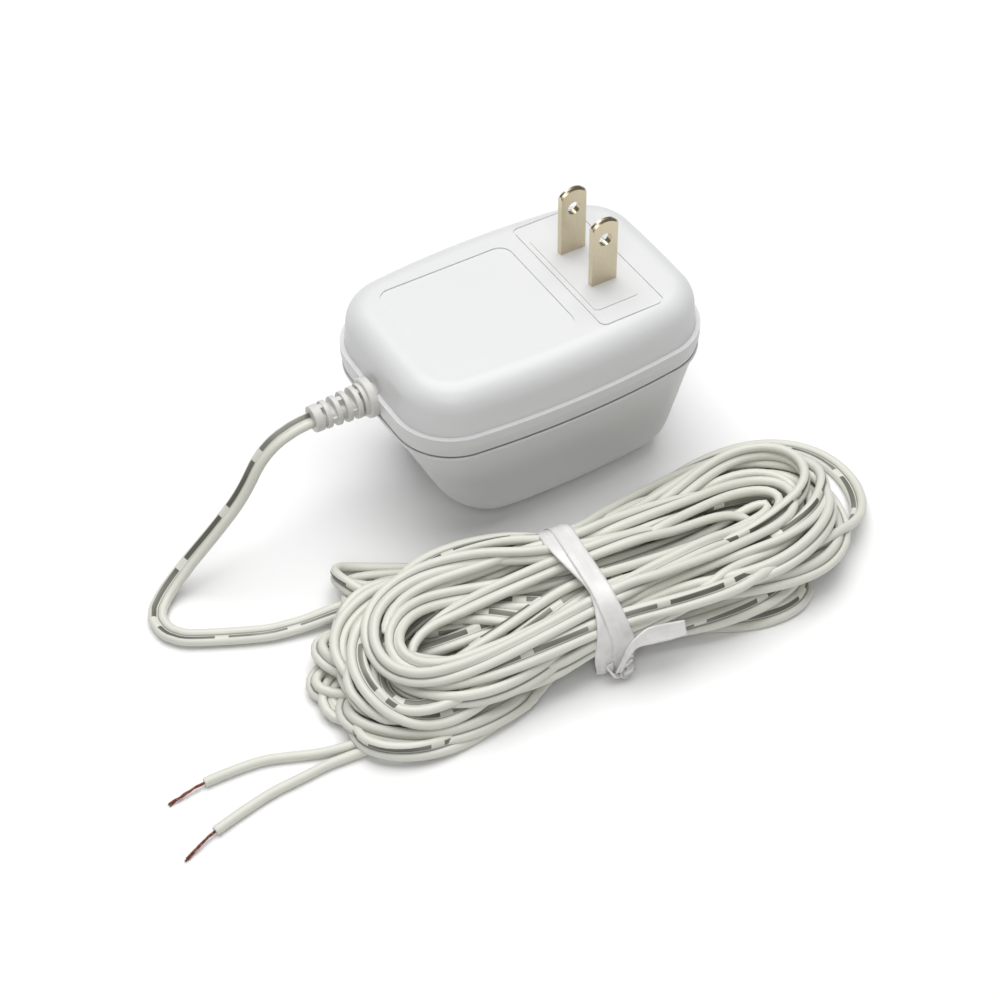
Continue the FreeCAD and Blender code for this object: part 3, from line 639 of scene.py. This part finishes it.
def twisted_strands_tree():
    """Fine wires twisted round a path, opening a little at their tips."""
    group, tree, given = node_group("twisted_strands", {
        "Strands": ("NodeSocketInt", 10),
        "Wire Radius": ("NodeSocketFloat", 0.0001),
        "Bundle Radius": ("NodeSocketFloat", 0.0004),
        "Lay Length": ("NodeSocketFloat", 0.006),
        "Splay": ("NodeSocketFloat", 0.5),
        "Seed": ("NodeSocketInt", 3),
        "Material": ("NodeSocketMaterial", None),
    })
    path = tree.node("GeometryNodeResampleCurve", {}, {"Curve": given["Geometry"], "Count": 48})
    copies = tree.node("GeometryNodeDuplicateElements", {"domain": "SPLINE"},
                       {"Geometry": path, "Amount": given["Strands"]})
    number = Value(tree, copies.socket.node.outputs["Duplicate Index"])
    factor = tree.node("GeometryNodeSplineParameter", output="Factor")
    length = tree.node("GeometryNodeSplineParameter", output="Length")
    chance = tree.node("FunctionNodeRandomValue", {"data_type": "FLOAT"},
                       {"ID": number, "Seed": given["Seed"]}, 1)
    layer = ((number + 0.35) / given["Strands"]) ** 0.5
    reach = given["Bundle Radius"] * layer * (1.0 + given["Splay"] * chance * factor ** 3.0)
    angle = number * GOLDEN_ANGLE + length / given["Lay Length"] * math.tau
    normal = tree.node("GeometryNodeInputNormal")
    tangent = tree.node("GeometryNodeInputTangent")
    sideways = tangent.vector("CROSS_PRODUCT", normal).scaled(angle.sine() * reach)
    upwards = normal.scaled(angle.cosine() * reach)
    uneven = tangent.scaled((chance - 0.5) * UNEVEN_ENDS * factor)
    offset = sideways.vector("ADD", upwards).vector("ADD", uneven)
    moved = tree.node("GeometryNodeSetPosition", {}, {"Geometry": copies, "Offset": offset})
    wires = swept(tree, moved, given["Wire Radius"], 6, {})
    return finish_group(group, tree, wires, given["Material"])


# The hank: wound by its fold tips, then settled

def tied_place(along, across, height):
    """A place by the tie's own directions, in millimetres."""
    return TIE_MIDDLE * (1, 1, 0) + ALONG * along + ACROSS * across + UP * height


def waist_place(turn, far):
    """Where a run passes through the tie: three turns to a layer, the first one outermost."""
    layer, place = divmod(turn, len(LAYER_PLACES))
    height = LOWEST_LAYER + LAYER_RISE * layer
    bulge = 1.0 - ((height - TIE_MIDDLE[2]) / 10.0) ** 2
    half = WAIST_HALF_WIDTH * math.sqrt(max(0.2, bulge)) * LAYER_PLACES[place]
    return tied_place(0.0, half if far else -half, height)


def hairpin(tip, half_width, come_from, go_to):
    """The points of one fold, from the run that comes to it round to the run that leaves it."""
    tip = as_array(tip)
    ahead = tip - TIE_MIDDLE
    ahead[2] = 0.0
    ahead = unit(ahead)
    side = np.array([-ahead[1], ahead[0], 0.0])
    if np.dot(side, come_from - go_to) < 0:
        side = -side
    points = []
    for back, out in HAIRPIN:
        point = tip - ahead * back * half_width + side * out * half_width
        run = come_from if out >= 0 else go_to
        reach = np.linalg.norm((tip - run)[:2])
        share = min(1.0, np.linalg.norm((tip - point)[:2]) / reach)
        point[2] = tip[2] + (run[2] - tip[2]) * share ** 1.5
        points.append(point)
    return points


def wound_line():
    """The hank as it is wound, before anything settles."""
    points = [as_array(point) for point in WINDING_START]
    last = len(FAR_FOLDS) - 1
    for turn, (x, y, height, half_width) in enumerate(FAR_FOLDS):
        far, near = waist_place(turn, True), waist_place(turn, False)
        if turn == last:
            near = tied_place(0.0, -13.0, 5.0)
        points += [far - ALONG * RUN_HALF_LENGTH, far + ALONG * RUN_HALF_LENGTH]
        points += hairpin((x, y, height), half_width, far, near)
        points += [near + ALONG * RUN_HALF_LENGTH, near - ALONG * RUN_HALF_LENGTH]
        if turn < last:
            x, y, height, half_width = NEAR_FOLDS[turn]
            points += hairpin((x, y, height), half_width, near, waist_place(turn + 1, True))
    points += [as_array(point) for point in WINDING_END]
    return np.array(points)


def evened(points, step):
    """The wound line with its corners cut, as points a step apart."""
    for _ in range(3):
        before, after = points[:-1], points[1:]
        cut = np.empty((2 * len(before), 3))
        cut[0::2], cut[1::2] = before * 0.75 + after * 0.25, before * 0.25 + after * 0.75
        points = np.vstack([points[:1], cut, points[-1:]])
    length = lengths_along(points)
    count = int(round(length[-1] / step))
    at = np.linspace(0, length[-1], count + 1)
    return read_off(at, length, points), length[-1] / count


class SettlingCord:
    """The flat cord's two cores as chains of points, in millimetres."""

    def __init__(self, line, step, core):
        self.count = len(line)
        self.step = step
        self.core = core
        self.home = line.copy()
        wide = self.first_lean(line)
        self.points = np.vstack([line + wide * core / 2, line - wide * core / 2])
        index = np.arange(self.count)
        self.starts = np.concatenate([index[:-1], index[:-1] + self.count])
        self.order = np.concatenate([index[:-1], index[:-1]])
        ends = np.concatenate([index[:HELD_POINTS], index[-HELD_POINTS:]])
        self.held = np.concatenate([ends, ends + self.count])
        self.held_places = self.points[self.held].copy()
        slant = math.hypot(step, core)
        self.links = [
            (self.starts, self.starts + 1, step),
            (index, index + self.count, core),
            (index[:-1], index[1:] + self.count, slant),
            (index[1:], index[:-1] + self.count, slant),
        ]

    def first_lean(self, line):
        """The direction of the flat's width: most runs lie plain face up, and the ends lie level."""
        tangent = unit(np.gradient(line, axis=0))
        level = unit(np.cross(tangent, UP))
        flat = unit(np.cross(tangent, SHOWN_SIDE))
        steep = np.cross(tangent, flat)
        # a chance lean every so often, and smooth between them
        knots = int(self.count * self.step / LEAN_STEP)
        chance = math.pi + np.random.default_rng(7).uniform(-0.6, 0.6, knots)
        lean = np.interp(np.linspace(0, 1, self.count), np.linspace(0, 1, knots), chance)
        off = line - TIE_MIDDLE
        top_far_runs = (line[:, 2] > 10.0) & (off @ ACROSS > 1) & (off @ ALONG > -6)
        outer_corner = (off @ ACROSS > 17) & (off @ ALONG < -28)
        from_end = np.minimum(np.arange(self.count), np.arange(self.count)[::-1])
        lean = np.where(top_far_runs | outer_corner | (from_end < 12), 0.0, lean)
        lean = np.convolve(np.pad(lean, 6, "edge"), np.ones(13) / 13, "valid")
        wide = flat * np.cos(lean)[:, None] + steep * np.sin(lean)[:, None]
        laid = np.clip(1.2 - from_end / 6, 0, 1)[:, None]
        return unit(wide * (1 - laid) + level * laid)

    def chains(self):
        return self.points[:self.count], self.points[self.count:]

    def find_close_runs(self):
        """Pairs of segments that are near enough to touch soon, but aren't neighbours on the cord."""
        middle = ((self.points[self.starts] + self.points[self.starts + 1]) / 2).astype(np.float32)
        squares = (middle ** 2).sum(1)
        reach = (self.step + self.core + 0.9) ** 2
        found = []
        for start in range(0, len(middle), 800):
            block = middle[start:start + 800]
            apart = squares[start:start + 800, None] + squares[None, :] - 2 * block @ middle.T
            first, second = np.nonzero(apart < reach)
            first = first + start
            keep = (second > first) & (np.abs(self.order[first] - self.order[second]) > 2)
            found.append(np.stack([first[keep], second[keep]], 1))
        self.close = np.vstack(found)

    def fall(self, weight, hold):
        """A little of its own weight, and a pull towards where it was wound."""
        self.points[:, 2] -= weight
        striped, plain = self.chains()
        pull = (self.home - (striped + plain) / 2) * hold
        pull[:, 2] = np.minimum(pull[:, 2], 0) * 1.5
        striped += pull
        plain += pull

    def straighten(self, reach, strength, most):
        """Stiffness: a point goes towards the middle of its neighbours, and they give way to it."""
        for chain in self.chains():
            bend = (chain[:-2 * reach] + chain[2 * reach:]) / 2 - chain[reach:-reach]
            size = np.linalg.norm(bend, axis=1)
            bend *= (np.minimum(size * strength, most) / np.maximum(size, 1e-9))[:, None]
            chain[reach:-reach] += bend
            chain[:-2 * reach] -= bend / 2
            chain[2 * reach:] -= bend / 2

    def summed(self, at, moves):
        """What each point is moved by, from moves given for points by number."""
        return np.stack([np.bincount(at, weights=part, minlength=len(self.points)) for part in moves.T], 1)

    def keep_lengths(self):
        for first, second, rest in self.links:
            apart = self.points[second] - self.points[first]
            distance = np.linalg.norm(apart, axis=1)
            change = apart * ((distance - rest) / np.maximum(distance, 1e-9) * 0.5)[:, None]
            share = 0.5 if len(first) > self.count else 0.9
            self.points += (self.summed(first, change) - self.summed(second, change)) * share

    def push_apart(self):
        """Moves touching segments apart, at the points where they are nearest."""
        first, second = self.starts[self.close[:, 0]], self.starts[self.close[:, 1]]
        base, other = self.points[first], self.points[second]
        run, other_run, between = self.points[first + 1] - base, self.points[second + 1] - other, base - other
        # s and t are the shares of the way along each segment at which the two are nearest
        a, e, b = (run * run).sum(1), (other_run * other_run).sum(1), (run * other_run).sum(1)
        f, c = (other_run * between).sum(1), (run * between).sum(1)
        spread = a * e - b * b
        s = np.where(spread > 1e-6 * a * e, np.clip((b * f - c * e) / np.maximum(spread, 1e-12), 0, 1), 0.5)
        t = np.clip((b * s + f) / e, 0, 1)
        s = np.clip((b * t - c) / a, 0, 1)
        gap = (base + run * s[:, None]) - (other + other_run * t[:, None])
        distance = np.linalg.norm(gap, axis=1)
        touching = distance < self.core
        first, second, s, t = first[touching], second[touching], s[touching], t[touching]
        gap, distance = gap[touching], distance[touching]
        gap[distance < 1e-4] = UP
        depth = np.minimum((self.core - distance) * 0.5, LONGEST_PUSH)
        push = gap / np.maximum(distance, 1e-4)[:, None] * depth[:, None]
        moved, weight = np.zeros_like(self.points), np.zeros(len(self.points))
        ends = (first, 1, 1 - s), (first + 1, 1, s), (second, -1, 1 - t), (second + 1, -1, t)
        for at, way, share in ends:
            weight += np.bincount(at, weights=share, minlength=len(self.points))
            moved += way * self.summed(at, push * share[:, None])
        self.points += moved / np.maximum(weight, 1.0)[:, None] * 1.2
        return distance

    def squeeze(self):
        """The tie: an oval that the points near it are drawn into."""
        off = self.points - TIE_MIDDLE
        along, across, up = off @ ALONG, off @ ACROSS, off[:, 2]
        slack = 1 + np.clip(np.abs(along) - TIE_HALF_LENGTH, 0, None) / 22.0
        half_width, half_height = WAIST_HALF_WIDTH - self.core / 2, WAIST_HALF_HEIGHT - self.core / 2
        size = np.sqrt((across / half_width) ** 2 + (up / half_height) ** 2) / slack
        tight = (size > 1) & (np.abs(along) < WAIST_REACH)
        drawn_in = (np.outer(across, ACROSS) + np.outer(up, UP)) / np.maximum(size, 1)[:, None]
        inside = TIE_MIDDLE + np.outer(along, ALONG) + drawn_in
        self.points[tight] += (inside[tight] - self.points[tight]) * 0.5

    def rest(self):
        """The floor below, no run lifted far above its place, and the ends that are held."""
        highest = np.tile(self.home[:, 2] + HIGHEST_RISE, 2)
        self.points[:, 1] = np.maximum(self.points[:, 1], NEAREST_TURN)
        self.points[:, 2] = np.clip(self.points[:, 2], self.core / 2, highest)
        self.points[self.held] = self.held_places

    def settle(self, rounds):
        falling = rounds * 3 // 4
        for turn in range(rounds):
            if turn % 8 == 0:
                self.find_close_runs()
            if turn < falling:
                self.fall(FALL_STEP, HOME_PULL)
            for reach, strength, most in STIFFNESS:
                self.straighten(reach, strength, most)
            for _ in range(3):
                self.keep_lengths()
            for _ in range(2 if turn < falling else 6):
                distance = self.push_apart()
            self.squeeze()
            self.rest()
        for chain in self.chains():
            for _ in range(2):
                chain[1:-1] = chain[1:-1] * 0.5 + (chain[:-2] + chain[2:]) * 0.25
        print(f"hank: {self.count} points, {len(distance)} touches, "
              f"deepest {(self.core - distance).max():.2f} mm")
        return self.chains()


def without_sudden_twists(tangent, wide):
    """The flat's width directions, with half twists that are only a few points long taken out."""
    level = unit(np.cross(tangent, UP))
    upright = np.cross(level, tangent)
    turn = 2 * np.arctan2((wide * upright).sum(1), (wide * level).sum(1))
    window = np.ones(9) / 9
    even = [np.convolve(np.pad(part, 4, "edge"), window, "valid") for part in (np.cos(turn), np.sin(turn))]
    turn = np.unwrap(np.arctan2(even[1], even[0])) / 2
    steady = level * np.cos(turn)[:, None] + upright * np.sin(turn)[:, None]
    return steady * np.sign((steady[0] * wide[0]).sum())


def flat_section(core_radius):
    """The figure of two joined cores, as places across and through the flat."""
    turns = np.radians(np.linspace(-155, 155, 11))
    striped = np.stack([core_radius * (1 + np.cos(turns)), core_radius * np.sin(turns)], 1)
    return np.vstack([striped, striped * (-1, -1)])


def flat_cord(name, points, wide, settings, material):
    """The flat cord: rings of the two-core figure along the smooth spline through its control points."""
    line = nurbs_points(name + "_route", points, 6)
    spans = len(points) - 2
    order = np.clip(np.linspace(0, spans, len(line)) + 0.5, 0, len(points) - 1)
    order[0], order[-1] = 0, len(points) - 1
    across = read_off(order, np.arange(len(points)), wide)
    tangent = unit(np.gradient(line, axis=0))
    length = lengths_along(line)
    marks = np.unique(np.searchsorted(length, np.arange(0, length[-1], settings.ring_step)))
    marks = marks[length[np.minimum(marks, len(line) - 1)] < length[-1] - settings.ring_step / 2]
    marks = np.append(marks, len(line) - 1)
    line, across, tangent, length = line[marks], across[marks], tangent[marks], length[marks]
    across = unit(across - tangent * (across * tangent).sum(1, keepdims=True))
    through = np.cross(across, tangent)
    section = flat_section(settings.core_diameter / 2)
    sides, rings = len(section), len(line)
    vertices = line[:, None, :] + across[:, None, :] * section[None, :, :1]
    vertices = vertices + through[:, None, :] * section[None, :, 1:]
    vertices[:, :, 2] = np.maximum(vertices[:, :, 2], LOWEST_SKIN)
    faces, (ring, side) = tube_faces(rings, sides)
    caps = [list(range(sides)), list(range(rings * sides - 1, (rings - 1) * sides - 1, -1))]
    uvs = np.stack([side / sides, length[ring]], -1).reshape(-1, 2)
    uvs = np.vstack([uvs, np.zeros((2 * sides, 2))])
    piece = add_piece(name, vertices.reshape(-1, 3), list(map(list, faces)) + caps, material, "sheath", uvs)
    return piece, line, length[-1]


# The tie

def smoothed(ring, rounds):
    for _ in range(rounds):
        ring = ring * 0.5 + (np.roll(ring, 1, 0) + np.roll(ring, -1, 0)) * 0.25
    return ring


def waist_outline(cores, clearance):
    """The tie's inner outline round the cores at the waist, as places across and up from the tie's middle."""
    off = np.vstack(cores) - TIE_MIDDLE
    near = off[np.abs(off @ ALONG) < TIE_HALF_LENGTH]
    flat = np.stack([near @ ACROSS, near[:, 2]], 1)
    hull = flat[convex_hull_2d([Vector(place) for place in flat])]
    closed = np.vstack([hull, hull[:1]])
    at = lengths_along(closed)
    even = np.linspace(0, at[-1], 181)[:-1]
    ring = read_off(even, at, closed)
    turn = np.roll(ring, -1, 0) - np.roll(ring, 1, 0)
    outwards = unit(np.stack([turn[:, 1], -turn[:, 0]], 1))
    if (outwards * (ring - ring.mean(0))).sum() < 0:
        outwards = -outwards
    for _ in range(6):
        outwards = unit(outwards + np.roll(outwards, 1, 0) + np.roll(outwards, -1, 0))
    ring = ring + outwards * clearance
    ring = smoothed(ring, 10)
    ring[:, 1] = np.maximum(ring[:, 1], LOWEST_STRAP - TIE_MIDDLE[2])
    return ring


def ribbon(name, middle, across, width, bend, material, thickness):
    """A flat strap along a line, with its width's direction and its height off the line across the width."""
    rows, columns = len(middle), STRAP_COLUMNS
    spot = np.linspace(-0.5, 0.5, columns)
    tangent = unit(np.gradient(middle, axis=0))
    normal = unit(np.cross(tangent, across))
    grid = middle[:, None, :] + across[:, None, :] * (spot[None, :, None] * width[:, None, None])
    grid = grid + normal[:, None, :] * bend[:, :, None]
    grid[:, :, 2] = np.maximum(grid[:, :, 2], thickness / MM / 2)
    row, column = np.meshgrid(np.arange(rows - 1), np.arange(columns - 1), indexing="ij")
    row, column = row.ravel(), column.ravel()
    faces = np.stack([row * columns + column, row * columns + column + 1,
                      (row + 1) * columns + column + 1, (row + 1) * columns + column], 1)
    length = lengths_along(middle)
    corner_row = np.stack([row, row, row + 1, row + 1], 1)
    corner_column = np.stack([column, column + 1, column + 1, column], 1)
    uvs = np.stack([spot[corner_column] * width.mean() * MM, length[corner_row] * MM], -1)
    piece = add_piece(name, grid.reshape(-1, 3) * MM, faces.tolist(), material, "film", uvs.reshape(-1, 2))
    solid = piece.modifiers.new("film", "SOLIDIFY")
    solid.thickness = thickness
    solid.offset = 0.0
    return piece


def join_pieces(name, pieces):
    """One piece from several, with their modifiers made real."""
    graph = bpy.context.evaluated_depsgraph_get()
    meshes = [bpy.data.meshes.new_from_object(piece.evaluated_get(graph)) for piece in pieces]
    for piece, mesh in zip(pieces, meshes):
        piece.modifiers.clear()
        piece.data = mesh
    whole = pieces[0]
    with bpy.context.temp_override(active_object=whole, selected_editable_objects=pieces, object=whole):
        bpy.ops.object.join()
    whole.name = name
    whole.data.name = name
    return whole


def hanging_front(outline):
    """Lets the strap hang straight from the hank's front to the floor."""
    front = outline.copy()
    lower_front = (outline[:, 0] < -7) & (outline[:, 1] < 0)
    front[lower_front, 0] = np.minimum(outline[lower_front, 0], STRAP_FRONT)
    return smoothed(front, 6)


def strap_turns(cores, settings, material):
    """Two turns of the strap, one over the other on top and apart in front, down to the knot."""
    outline = hanging_front(waist_outline(cores, STRAP_CLEARANCE))
    places = np.arctan2(outline[:, 1] / WAIST_HALF_HEIGHT, outline[:, 0] / WAIST_HALF_WIDTH)
    start = int(np.argmin(np.abs(places - math.radians(-140))))
    outline, places = np.roll(outline, -start, 0), np.roll(places, -start)
    closed, angle = np.vstack([outline, outline[:1]]), np.append(places, places[0])
    cosine, sine = np.cos(angle), np.sin(angle)
    front = np.clip(-cosine * 1.3, 0, 1) * np.clip(0.95 - sine, 0, 1)
    rows = len(closed)
    run, spot = np.linspace(0, 1, rows)[:, None], np.linspace(-1, 1, STRAP_COLUMNS)[None, :]
    pucker = np.exp(-(np.minimum(run, 1 - run) / 0.05) ** 2)
    pieces = []
    for turn, (back_shift, front_shift) in enumerate(STRAP_SHIFTS):
        shift = back_shift * np.clip(0.5 + cosine, 0, 1) - 0.4 * np.clip(sine, 0, 1) + front_shift * front
        flat = closed + unit(closed) * (0.4 * turn)
        middle = TIE_MIDDLE + np.outer(shift, ALONG) + np.outer(flat[:, 0], ACROSS) + np.outer(flat[:, 1], UP)
        crease = np.abs(spot + (0.35 if turn else -0.35)) * (0.06 + 0.12 * front[:, None])
        wave = 0.05 * np.sin(spot * 3.1 + run * 17 + turn * 2)
        bend = crease + wave + pucker * 0.22 * np.sin(spot * 6.0 + turn)
        width = settings.width / MM * (1 + 0.14 * front) * (1 - 0.2 * pucker[:, 0])
        pieces.append(ribbon(f"strap_turn_{turn}", middle, np.tile(ALONG, (rows, 1)), width, -bend,
                             material, settings.thickness))
    return pieces


def strip_along(name, places, widths, leans, bend, material, thickness):
    """A strip of the strap through a few places, with its width and its lean out of the upright at each."""
    at, even = np.linspace(0, 1, len(places)), np.linspace(0, 1, STRIP_ROWS)
    middle = nurbs_points(name, [tied_place(*place) for place in places], 12) / MM
    length = lengths_along(middle)
    middle = read_off(even * length[-1], length, middle)
    lean = np.radians(np.interp(even, at, leans))[:, None]
    tangent = unit(np.gradient(middle, axis=0))
    upright = unit(UP - tangent * tangent[:, 2:])
    across = upright * np.cos(lean) + np.cross(tangent, upright) * np.sin(lean)
    width, spot = np.interp(even, at, widths), np.linspace(-1, 1, STRAP_COLUMNS)[None, :]
    return ribbon(name, middle, across, width, bend(even[:, None], spot), material, thickness)


# Operators

# What the cord's operator leaves for the tie's: the cores' points, the piece, its path and its length
settled = {}


def stand_in(piece, slot, *nodes):
    """Puts a piece in the place of CAD nodes. The slot that it is given is not used."""
    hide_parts(*nodes)
    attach(piece, "root")


class TRANSFORMER_OT_stage(bpy.types.Operator):
    """Sets up the camera, the pale floor and the soft studio light"""

    bl_idname = "transformer.stage"
    bl_label = "Camera, floor and light"

    def execute(self, context):
        settings = context.scene.transformer_stage
        self.add_camera(context)
        floor = self.add_floor(settings)
        self.add_light("key", KEY_PLACE, 1.4, settings.key_power)
        self.add_light("fill", FILL_PLACE, 0.9, settings.fill_power)
        world = bpy.data.worlds.new("studio")
        world.use_nodes = True
        background = world.node_tree.nodes["Background"]
        background.inputs["Color"].default_value = (1.0, 1.0, 1.0, 1.0)
        background.inputs["Strength"].default_value = settings.world_strength
        context.scene.world = world
        context.scene.view_settings.view_transform = "Standard"
        return {"FINISHED"}

    def add_camera(self, context):
        azimuth, elevation, roll = (math.radians(angle) for angle in CAMERA_ANGLES)
        level = math.cos(elevation)
        back = Vector((math.sin(azimuth) * level, -math.cos(azimuth) * level, math.sin(elevation)))
        right = Vector((math.cos(azimuth), math.sin(azimuth), 0.0))
        up = back.cross(right)
        away, aside, below = CAMERA_OFFSETS
        place = Vector(BLADE_MIDDLE) + back * away - right * aside - up * below
        turned_right = right * math.cos(roll) - up * math.sin(roll)
        turned_up = right * math.sin(roll) + up * math.cos(roll)
        data = bpy.data.cameras.new("photo_camera")
        data.lens = CAMERA_LENS
        data.sensor_width = 36.0
        camera = new_object("photo_camera", data)
        turn = Matrix((turned_right, turned_up, back)).transposed().to_4x4()
        camera.matrix_world = Matrix.Translation(place * MM) @ turn
        context.scene.camera = camera

    def add_floor(self, settings):
        corners = [(x * FLOOR_HALF, y * FLOOR_HALF, 0.0) for x, y in ((-1, -1), (1, -1), (1, 1), (-1, 1))]
        return add_piece("floor", corners, [(0, 1, 2, 3)], floor_finish(settings.floor_colour))

    def add_light(self, name, place, size, power):
        data = bpy.data.lights.new(name, "AREA")
        data.size = size
        data.energy = power
        light = new_object(name, data)
        place = Vector(place)
        aim = Vector(LIT_POINT) - place
        light.matrix_world = Matrix.Translation(place) @ aim.to_track_quat("-Z", "Y").to_matrix().to_4x4()


class TRANSFORMER_OT_cord(bpy.types.Operator):
    """Makes the flat cord: the lead to the floor and the tied hank, in one length"""

    bl_idname = "transformer.cord"
    bl_label = "Flat cord and hank"

    def execute(self, context):
        settings = context.scene.transformer_cord
        line, step = evened(wound_line(), CONTROL_STEP)
        cord = SettlingCord(line, step, settings.core_diameter / MM)
        striped, plain = cord.settle(SETTLING_ROUNDS)
        lead = as_array(LEAD)
        level = unit(np.cross(np.gradient(lead, axis=0), UP))
        points = np.vstack([lead, (striped + plain) / 2])
        wide = np.vstack([level, unit(striped - plain)])
        wide = without_sudden_twists(unit(np.gradient(points, axis=0)), wide)
        piece, path, length = flat_cord("flat_cord", points, wide, settings, sheath_finish(settings))
        settled.update(cores=(striped, plain), piece=piece, path=path, length=length)
        stand_in(piece, "cord", "cord_lead", "cord_hank")
        print(f"flat cord: {len(path)} rings, {length:.3f} m")
        return {"FINISHED"}


class TRANSFORMER_OT_tie(bpy.types.Operator):
    """Makes the milky strap round the hank's waist, its twisted knot and its tail"""

    bl_idname = "transformer.tie"
    bl_label = "Tie round the hank"

    def execute(self, context):
        settings = context.scene.transformer_tie
        material = strap_finish(settings.colour)
        pieces = strap_turns(settled["cores"], settings, material)
        for name, strip in STRIPS.items():
            pieces.append(strip_along(name, *strip, material, settings.thickness))
        tie = join_pieces("strap_tie", pieces)
        stand_in(tie, "strap", "hank_tie")
        return {"FINISHED"}


class TRANSFORMER_OT_wire_ends(bpy.types.Operator):
    """Makes the two split cores and their bared, twisted strands"""

    bl_idname = "transformer.wire_ends"
    bl_label = "Split cores and strands"

    def execute(self, context):
        cord = context.scene.transformer_cord
        strands = context.scene.transformer_strands
        sheath, copper = core_finish(cord), strand_finish(strands.colour)
        tube_tree, strand_tree = core_tube_tree(), twisted_strands_tree()
        for name, route, seed in (("upper", UPPER_CORE, 3), ("lower", LOWER_CORE, 8)):
            path = nurbs_points(f"core_{name}_route", route, 16)
            core = apply_nodes(f"core_{name}", route, tube_tree,
                               {"Radius": cord.core_diameter / 2, "Rings": 110, "Material": sheath})
            end, before = as_array(route[-1]), as_array(route[-2])
            ahead = unit(end - before)
            turned = ahead * math.cos(BARE_TURN) + np.cross(UP, ahead) * math.sin(BARE_TURN)
            tip = end + turned * BARE_LENGTH
            tip[2] = BARE_TIP_HEIGHT
            bared = [end - ahead * HIDDEN_LENGTH, end + ahead * 0.8, end + turned * BARE_LENGTH / 2, tip]
            bundle = apply_nodes(f"strands_{name}_bundle", bared, strand_tree, {
                "Strands": strands.count, "Wire Radius": strands.wire_radius,
                "Bundle Radius": strands.bundle_radius, "Lay Length": strands.lay_length,
                "Splay": strands.splay, "Seed": seed, "Material": copper})
            stand_in(core, "cord", f"wire_end_{name}")
            stand_in(bundle, "strand", f"strands_{name}")
        return {"FINISHED"}


def dress(nodes, material):
    """Gives CAD nodes one finish."""
    for name in nodes:
        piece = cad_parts[name]
        piece.data.materials.clear()
        piece.data.materials.append(material)


class TRANSFORMER_OT_casing(bpy.types.Operator):
    """Finishes the two casing halves and the strain relief"""

    bl_idname = "transformer.casing"
    bl_label = "Casing and strain relief"

    def execute(self, context):
        settings = context.scene.transformer_finish
        dress(["front_shell", "back_shell"], casing_finish(settings.casing_colour))
        dress(["strain_relief"], relief_finish(settings.relief_colour))
        return {"FINISHED"}


class TRANSFORMER_OT_blades(bpy.types.Operator):
    """Finishes the two plug blades"""

    bl_idname = "transformer.blades"
    bl_label = "Plug blades"

    def execute(self, context):
        settings = context.scene.transformer_finish
        dress(["blade_left", "blade_right"], blade_finish(settings.blade_colour))
        return {"FINISHED"}


class TRANSFORMER_OT_works(bpy.types.Operator):
    """Finishes what is inside the casing: core, bobbin, windings, tape, pins, fuse and inner wires"""

    bl_idname = "transformer.works"
    bl_label = "Inner parts"

    def execute(self, context):
        dress(["core_e_laminations", "core_i_laminations"],
              sheet_stack_finish("varnished_sheets", (0.20, 0.20, 0.215), 0.0005, "Y"))
        dress(["bobbin"], moulded_finish("bobbin_nylon", (0.025, 0.025, 0.028), 0.0, 0.42))
        dress(["primary_winding"],
              wound_finish("fine_enamel_wire", (0.42, 0.13, 0.045), 0.00012, 0.7, 0.28))
        dress(["secondary_winding"],
              wound_finish("thick_enamel_wire", (0.46, 0.16, 0.06), 0.0007, 0.7, 0.26))
        dress(["primary_tape", "secondary_tape"],
              wound_finish("film_tape", (0.72, 0.52, 0.06), 0.009, 0.0, 0.24))
        dress(["primary_pins", "secondary_pins"],
              moulded_finish("tinned_pins", (0.62, 0.62, 0.60), 1.0, 0.28))
        dress(["thermal_fuse"], moulded_finish("sealed_fuse", (0.50, 0.47, 0.38), 0.0, 0.34))
        dress(["primary_lead_left", "primary_lead_right", "core_wire_left", "core_wire_right"],
              moulded_finish("inner_wire_sheath", (0.03, 0.03, 0.033), 0.0, 0.38))
        return {"FINISHED"}


class TRANSFORMER_PT_panel(bpy.types.Panel):
    """Lists the transformer's steps"""

    bl_label = "Bell transformer"
    bl_space_type = "VIEW_3D"
    bl_region_type = "UI"
    bl_category = "Transformer"

    def draw(self, context):
        for step in STEPS:
            self.layout.operator(step.bl_idname)
        for group in GROUPS:
            settings = getattr(context.scene, group)
            box = self.layout.box()
            for name in settings.bl_rna.properties.keys():
                if name not in ("rna_type", "name"):
                    box.prop(settings, name)


GROUPS = {
    "transformer_stage": StageSettings,
    "transformer_cord": CordSettings,
    "transformer_strands": StrandSettings,
    "transformer_tie": TieSettings,
    "transformer_finish": FinishSettings,
}
STEPS = [
    TRANSFORMER_OT_stage,
    TRANSFORMER_OT_cord,
    TRANSFORMER_OT_tie,
    TRANSFORMER_OT_wire_ends,
    TRANSFORMER_OT_casing,
    TRANSFORMER_OT_blades,
    TRANSFORMER_OT_works,
]


def register():
    for group in GROUPS.values():
        bpy.utils.register_class(group)
    for step in STEPS:
        bpy.utils.register_class(step)
    bpy.utils.register_class(TRANSFORMER_PT_panel)
    for name, group in GROUPS.items():
        setattr(bpy.types.Scene, name, bpy.props.PointerProperty(type=group))


def unregister():
    for name in GROUPS:
        delattr(bpy.types.Scene, name)
    bpy.utils.unregister_class(TRANSFORMER_PT_panel)
    for step in reversed(STEPS):
        bpy.utils.unregister_class(step)
    for group in reversed(list(GROUPS.values())):
        bpy.utils.unregister_class(group)


def main():
    register()
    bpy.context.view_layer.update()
    bpy.ops.transformer.stage()
    bpy.ops.transformer.cord()
    bpy.ops.transformer.tie()
    bpy.ops.transformer.wire_ends()
    bpy.ops.transformer.casing()
    bpy.ops.transformer.blades()
    bpy.ops.transformer.works()


if __name__ == "__main__":
    main()
